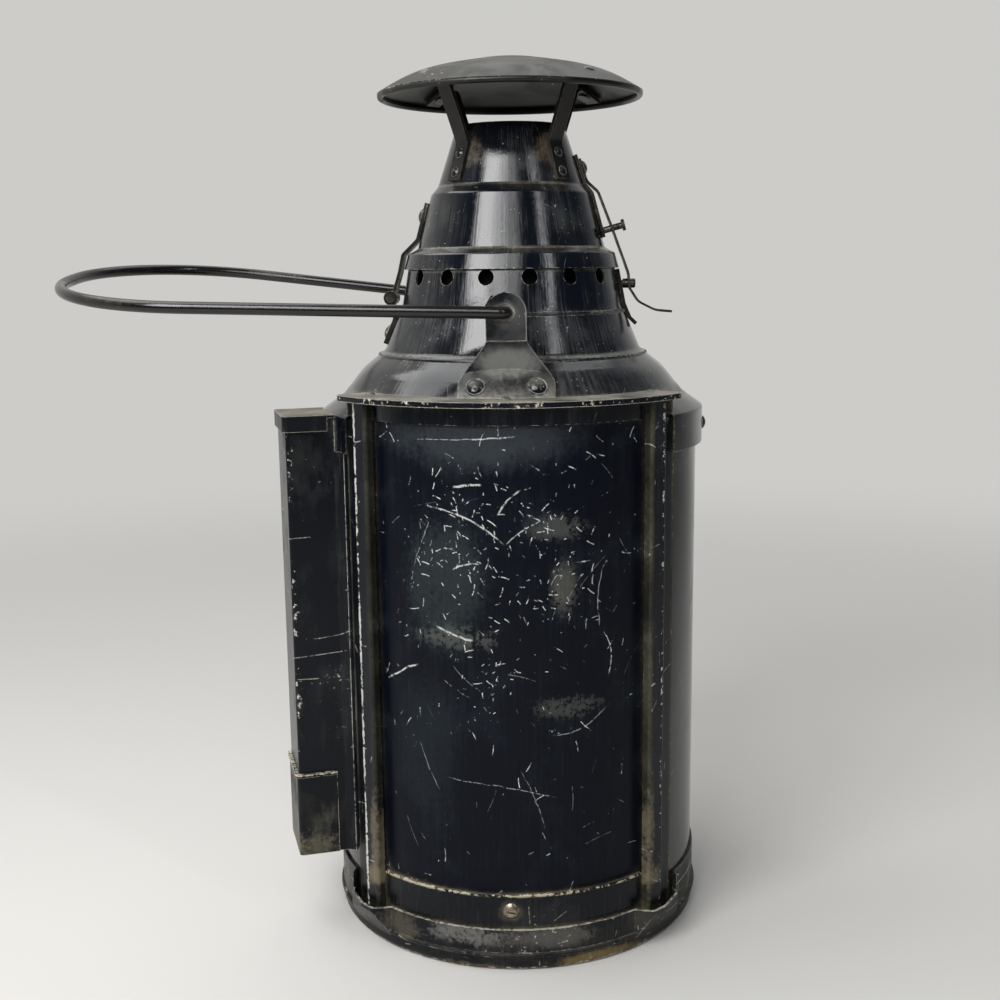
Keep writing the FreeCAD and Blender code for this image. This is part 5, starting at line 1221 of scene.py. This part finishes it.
@dataclass
class Fasteners:
    """Rivets and screws in sight."""

    screw_radius: float = 4.5 * MM
    screw_rise: float = 1.9 * MM        # height of its head
    screw_seat: float = 2.43 * MM       # how far its foot lies behind the front of the solid
    screw_break: float = 0.12 * MM      # width of its broken edges
    slot_width: float = 1.0 * MM
    slot_depth: float = 1.0 * MM
    slot_turn: float = -14.0            # degrees from level
    rivet_radius: float = 4.9 * MM
    rivet_rise: float = 2.2 * MM
    hammer_marks: float = 0.22 * MM
    ring_width: float = 0.45 * MM       # ring that the hammering left round each
    ring_lift: float = 0.1 * MM
    # where the ears' rivets sit: radius, height, bearing from the ear's middle, tilt upward
    rivet_circle: float = 91.5 * MM
    rivet_level: float = 309.3 * MM
    rivet_shift: float = 9.825
    rivet_tilt: float = 38.4
    screw: bpy.types.Object | None = field(default=None, init=False)
    rivets: bpy.types.Object | None = field(default=None, init=False)

    def build(self) -> None:
        """Models the ledge's slotted screw and the hammered rivets of the ears."""
        self.screw = self._slotted_screw()
        self.rivets = self._hammered_rivets()

    @staticmethod
    def _button(radius: float, rise: float, segments: int) -> bpy.types.Object:
        """Models a low round head on the ground, cut from a ball.

        Args:
            radius: of its foot.
            rise: its height.
            segments: round its rim.

        Returns:
            The head, still at the origin.
        """
        ball = (radius ** 2 + rise ** 2) / (2 * rise)
        deselect()
        bpy.ops.mesh.primitive_uv_sphere_add(segments=segments, ring_count=2 * segments,
                                             radius=ball)
        head = bpy.context.object
        with editing(head):
            bpy.ops.mesh.bisect(plane_co=(0.0, 0.0, ball - rise), plane_no=(0.0, 0.0, 1.0),
                                clear_inner=True, use_fill=True)
        head.data.transform(Matrix.Translation((0.0, 0.0, rise - ball)))
        return head

    def _slotted_screw(self) -> bpy.types.Object:
        """Models the round-head screw of the ledge.

        Returns:
            The screw.
        """
        head = self._button(self.screw_radius, self.screw_rise, 40)
        bpy.ops.mesh.primitive_cube_add(
            size=1.0, scale=(3 * self.screw_radius, self.slot_width, 2 * self.slot_depth),
            rotation=(0.0, 0.0, math.radians(self.slot_turn)),
            location=(0.0, 0.0, self.screw_rise))
        cutter = bpy.context.object
        apply_modifier(head, "BOOLEAN", operation="DIFFERENCE", object=cutter)
        bpy.data.objects.remove(cutter)
        apply_modifier(head, "BEVEL", width=self.screw_break, segments=2,
                       limit_method="ANGLE", angle_limit=math.radians(35))
        low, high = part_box("ledge_screw")
        middle = (low + high) / 2
        seat = Vector((middle.x, low.y + self.screw_seat, middle.z))
        placed = settle(head, "slotted_screw", facing(seat, Vector((0.0, -1.0, 0.0))))
        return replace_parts(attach(placed, "lamp_body"), "ledge_screw")

    def _hammered_rivets(self) -> bpy.types.Object:
        """Models the four rivets of the ears, each with the ring that its hammering left.

        Returns:
            The rivets, as one piece.
        """
        heads = []
        for side in (0.0, 180.0):
            for shift in (-self.rivet_shift, self.rivet_shift):
                head = self._button(self.rivet_radius, self.rivet_rise, 14)
                with editing(head):
                    bpy.ops.transform.vertex_random(offset=self.hammer_marks,
                                                    seed=len(heads) + 3)
                bpy.ops.mesh.primitive_torus_add(
                    major_radius=self.rivet_radius, minor_radius=self.ring_width,
                    major_segments=36, minor_segments=10,
                    location=(0.0, 0.0, self.ring_lift))
                join(head, bpy.context.object)
                seat = at_bearing(self.rivet_circle, side + shift, self.rivet_level)
                tilt = math.radians(self.rivet_tilt)
                out = at_bearing(math.cos(tilt), side + shift, math.sin(tilt))
                heads.append(settle(head, f"rivet_{len(heads)}", facing(seat, out), 25.0))
        join(*heads)
        rivets = settle(heads[0], "hammered_rivets", smooth_under=25.0)
        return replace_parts(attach(rivets, "lamp_body"), "ear_rivets")

    def dress(self) -> None:
        """Finishes the rivets and the screws."""
        # The bare chips and rubbed edges of the rivet heads are partly wear and partly a painted
        # highlight round each head.
        Japan("japanned_rivet", gloss=(0.2, 0.42), specular=0.45, chips=0.5, dust=0.5,
              crevice_dust=0.9, crevice_mm=2.5, rubbed=0.8, rub_width_mm=0.6, dents_mm=0.1,
              bare_tin="b5b1a6", dust_colour="a19d8f").cover(
            "flange_rivets", "cap_rivets", "strut_rivets", "cowl_rivets", "leaf_rivet",
            "shoulder_screws", self.rivets)
        OldMetal("tinned_screw", "b3ab98", "6e6552", tarnished=0.5, gloss=(0.28, 0.5)).cover(
            self.screw)


@dataclass
class Bail:
    """Wire handle."""

    def dress(self) -> None:
        """Finishes the wire."""
        Japan("japanned_wire", varnish="0c0a0a", faded="201a17", gloss=(0.18, 0.4),
              streaks=0.0, specular=0.5, chips=0.2, dust=0.1, rubbed=0.0,
              dents_mm=0.3, bare_tin="6b625a").cover("bail")


@dataclass
class BracketSocket:
    """Box that the lamp hangs by."""

    corner_bearings: tuple[float, float] = (-80.2, -63.8)
    shoe_lip: float = 90.6              # millimetres

    def dress(self) -> None:
        """Finishes the box, its lid and its shoe."""
        far, near = self.corner_bearings
        # The bare strip along the far corner is partly wear and partly a painted highlight of
        # that edge.
        Japan("japanned_socket", gloss=(0.25, 0.48), specular=0.2, chips=0.2, dust=0.1,
              streaks=0.6, rubbed=0.55, crevice_dust=0.6, haze=0.35,
              haze_colour="33342f", bare_tin="c0bdb3", edges=(
                  WornEdge(Along.BEARING, far, 0.5, 0.25),
                  WornEdge(Along.BEARING, near, 0.4, 0.2)),
              strokes=(Strokes(18.0, 0.35, 0.35, 9.4, depth=0.6),
                       Strokes(6.0, 0.35, 0.3, 2.4, depth=0.8, gathered=0.9))).cover(
            "bracket_socket")
        Japan("japanned_socket_lid", gloss=(0.35, 0.6), specular=0.25, dust=1.0,
              rubbed=0.7, haze=0.7, haze_colour="5f5a4c", dust_colour="8c8674",
              bare_tin="c5c0b2").cover("socket_lid")
        Japan("japanned_shoe", gloss=(0.3, 0.6), specular=0.2, chips=0.25, fading=1.0,
              dust=0.5, faded="1d1e1a", rubbed=0.6, haze=0.8, haze_colour="4c4b3f",
              bare_tin="c8c2ae", edges=(WornEdge(Along.HEIGHT, self.shoe_lip, 1.0, 0.5),),
              patches=(Patch((-128.0, 56.0), (22.0, 22.0), "706d5b", 0.8, 2.2),
                       Patch((-118.0, 48.0), (18.0, 14.0), "6a6552", 0.8, 2.2))).cover(
            "socket_shoe")


@dataclass
class LightWorks:
    """Lens, burner and oil font inside the drum."""

    def dress(self) -> None:
        """Finishes the lens, its frame, the burner and the font."""
        LampGlass("moulded_lens_glass").cover("lens")
        LampGlass("blown_chimney_glass", "f4f6f4", 0.02).cover("chimney")
        OldMetal("lamp_brass", "b08d4f", "5c4a2c", tarnished=0.4, gloss=(0.22, 0.5)).cover(
            "lens_rail_lower", "lens_rail_upper", "lens_stile_left", "lens_stile_right",
            "filler_cap", "burner", "wick_spindle", "shutter_knob")
        OldMetal("tinned_plate", "b9b7b0", "77736a", tarnished=0.5, gloss=(0.2, 0.45),
                 grain_mm=4.0).cover("font", "font_seat")
        CottonBraid().cover("wick")


# ---- Studio ------------------------------------------------------------------------------

@dataclass
class Softbox:
    """One rectangular lamp that looks at the middle of the object."""

    name: str
    bearing: float
    rise: float                     # degrees above level
    distance: float
    size: tuple[float, float]
    watts: float

    def hang(self) -> None:
        """Adds the lamp."""
        rise = math.radians(self.rise)
        flat = self.distance * math.cos(rise)
        place = at_bearing(flat, self.bearing, MIDDLE + self.distance * math.sin(rise))
        light = bpy.data.lights.new(self.name, "AREA")
        light.shape = "RECTANGLE"
        light.size, light.size_y = self.size
        light.energy = self.watts
        holder = bpy.data.objects.new(self.name, light)
        holder.location = place
        aim = Vector((0.0, 0.0, MIDDLE)) - place
        holder.rotation_euler = aim.to_track_quat("-Z", "Y").to_euler()
        bpy.context.scene.collection.objects.link(holder)


@dataclass
class Studio:
    """Pale floor, pale surroundings, soft lamps and the camera."""

    softboxes: tuple[Softbox, ...] = (
        Softbox("window_left", -34.0, 35.0, 1.3, (0.48, 0.66), 12.0),
        Softbox("window_middle", -13.5, 35.0, 1.3, (0.26, 0.66), 4.0),
        Softbox("window_right", 3.5, 35.0, 1.3, (0.26, 0.66), 2.0),
        Softbox("door_gap", 44.0, 33.0, 1.3, (0.06, 0.7), 1.6),
        Softbox("rear_softbox", 168.0, 62.0, 1.6, (1.2, 0.8), 4.0),
        Softbox("skylight_left", -95.0, 60.0, 1.4, (1.1, 0.9), 10.0),
    )
    # the camera, in metres and degrees
    distance: float = 0.7406        # from the lamp's axis
    height: float = 0.3684
    bearing: float = 2.0            # which way round the lamp it stands
    yaw: float = -0.62              # turned aside, tipped down and rolled
    dip: float = 10.16
    roll: float = -0.68
    focal_mm: float = 46.8
    sensor_mm: float = 36.0
    backdrop: str = "f6f5f2"
    backdrop_strength: float = 0.66
    room: str = "bccadb"
    room_strength: float = 0.14
    pale_side: tuple[float, float, float] = (-0.45, 0.9, 0.0)   # way to the pale backdrop
    floor_colour: str = "cdcbc7"
    floor_matt: float = 0.9         # roughness
    floor_specular: float = 0.1
    floor_size: float = 40.0
    # where the floor starts to fade and has faded: from the middle, and toward the pale side
    floor_fade: tuple[float, float] = (0.25, 1.6)
    pale_fade: tuple[float, float] = (0.2, 1.2)
    air_fade: tuple[float, float] = (-0.2, 0.6)     # the same of the air, as a cosine

    def build(self) -> None:
        """Sets the floor, the world, the lamps and the camera up."""
        self._floor()
        self._world()
        for softbox in self.softboxes:
            softbox.hang()
        self._camera()
        bpy.context.scene.view_settings.view_transform = "Standard"

    def _floor(self) -> None:
        """Adds the pale floor, which fades into the backdrop far from the object."""
        deselect()
        bpy.ops.mesh.primitive_plane_add(size=self.floor_size, location=(0.0, 0.0, 0.0))
        floor = bpy.context.object
        floor.name = "studio_floor"
        material, tree, paper = blank("matt_paper")
        paper.inputs["Base Color"].default_value = linear(self.floor_colour)
        paper.inputs["Roughness"].default_value = self.floor_matt
        paper.inputs["Specular IOR Level"].default_value = self.floor_specular
        point = add(tree, TEX_COORD, out="Object")
        away = add(tree, VECTOR, {0: point}, "Value", **LENGTH)
        near, far = self.floor_fade
        away = add(tree, RANGE, {0: away, 1: near, 2: far}, **SMOOTH)
        beyond = add(tree, VECTOR, {0: point, 1: self.pale_side}, "Value", **DOT)
        near, far = self.pale_fade
        beyond = add(tree, RANGE, {0: beyond, 1: near, 2: far}, **SMOOTH)
        rays = add(tree, "ShaderNodeLightPath").node.outputs
        mirrored = add(tree, MATH, {0: rays["Is Glossy Ray"], 1: rays["Is Transmission Ray"]})
        shown = add(tree, MATH, {0: mirrored, 1: beyond}, **TIMES)
        faded = add(tree, MATH, {0: rays["Is Camera Ray"], 1: away, 2: shown},
                    **TIMES_PLUS, **CLAMP)
        air = add(tree, "ShaderNodeEmission", {"Color": linear(self.backdrop),
                                               "Strength": self.backdrop_strength})
        mixed = add(tree, "ShaderNodeMixShader", {0: faded, 1: paper.outputs[0], 2: air})
        tree.links.new(mixed, tree.nodes["Material Output"].inputs[0])
        floor.data.materials.append(material)

    def _world(self) -> None:
        """Puts a pale backdrop behind the object and a darker room in front of it."""
        world = bpy.data.worlds.new("studio_air")
        world.use_nodes = True
        tree = world.node_tree
        tree.nodes.clear()
        way = add(tree, TEX_COORD, out="Generated")
        beyond = add(tree, VECTOR, {0: way, 1: self.pale_side}, "Value", **DOT)
        near, far = self.air_fade
        beyond = add(tree, RANGE, {0: beyond, 1: near, 2: far}, **SMOOTH)
        seen = add(tree, "ShaderNodeLightPath", out="Is Camera Ray")
        pale = add(tree, MATH, {0: beyond, 1: seen}, operation="MAXIMUM")
        strength = add(tree, RANGE, {0: pale, 3: self.room_strength,
                                     4: self.backdrop_strength})
        colour = add(tree, MIX, {0: pale, 6: linear(self.room), 7: linear(self.backdrop)}, 2,
                     **COLOUR)
        air = add(tree, "ShaderNodeBackground", {"Color": colour, "Strength": strength})
        tree.links.new(air, tree.nodes.new("ShaderNodeOutputWorld").inputs["Surface"])
        bpy.context.scene.world = world

    def _camera(self) -> None:
        """Adds the camera at the set viewing angle."""
        yaw, dip, roll = (math.radians(value) for value in (self.yaw, self.dip, self.roll))
        ahead = Vector((math.sin(yaw) * math.cos(dip), math.cos(yaw) * math.cos(dip),
                        -math.sin(dip)))
        level = Vector((math.cos(yaw), -math.sin(yaw), 0.0))
        up = level.cross(ahead)
        right = math.cos(roll) * level + math.sin(roll) * up
        above = -math.sin(roll) * level + math.cos(roll) * up
        frame_axes = Matrix((right, above, -ahead)).transposed().to_4x4()
        spin = Matrix.Rotation(math.radians(self.bearing), 4, "Z")
        place = Matrix.Translation((0.0, -self.distance, self.height))
        lens = bpy.data.cameras.new("camera")
        lens.lens = self.focal_mm
        lens.sensor_width = self.sensor_mm
        camera = bpy.data.objects.new("camera", lens)
        camera.matrix_world = spin @ place @ frame_axes
        bpy.context.scene.collection.objects.link(camera)
        bpy.context.scene.camera = camera


def main() -> None:
    """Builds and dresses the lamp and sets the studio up."""
    logging.basicConfig(level=logging.INFO, format="%(message)s")
    modelled = (Drum(), CatchSpring(), WeatherCap(), Fasteners())
    for part in modelled:
        part.build()
    for part in modelled + (Shutter(), Dome(), Cowl(), Bail(), BracketSocket(), LightWorks()):
        part.dress()
    Studio().build()


if __name__ == "__main__":
    main()
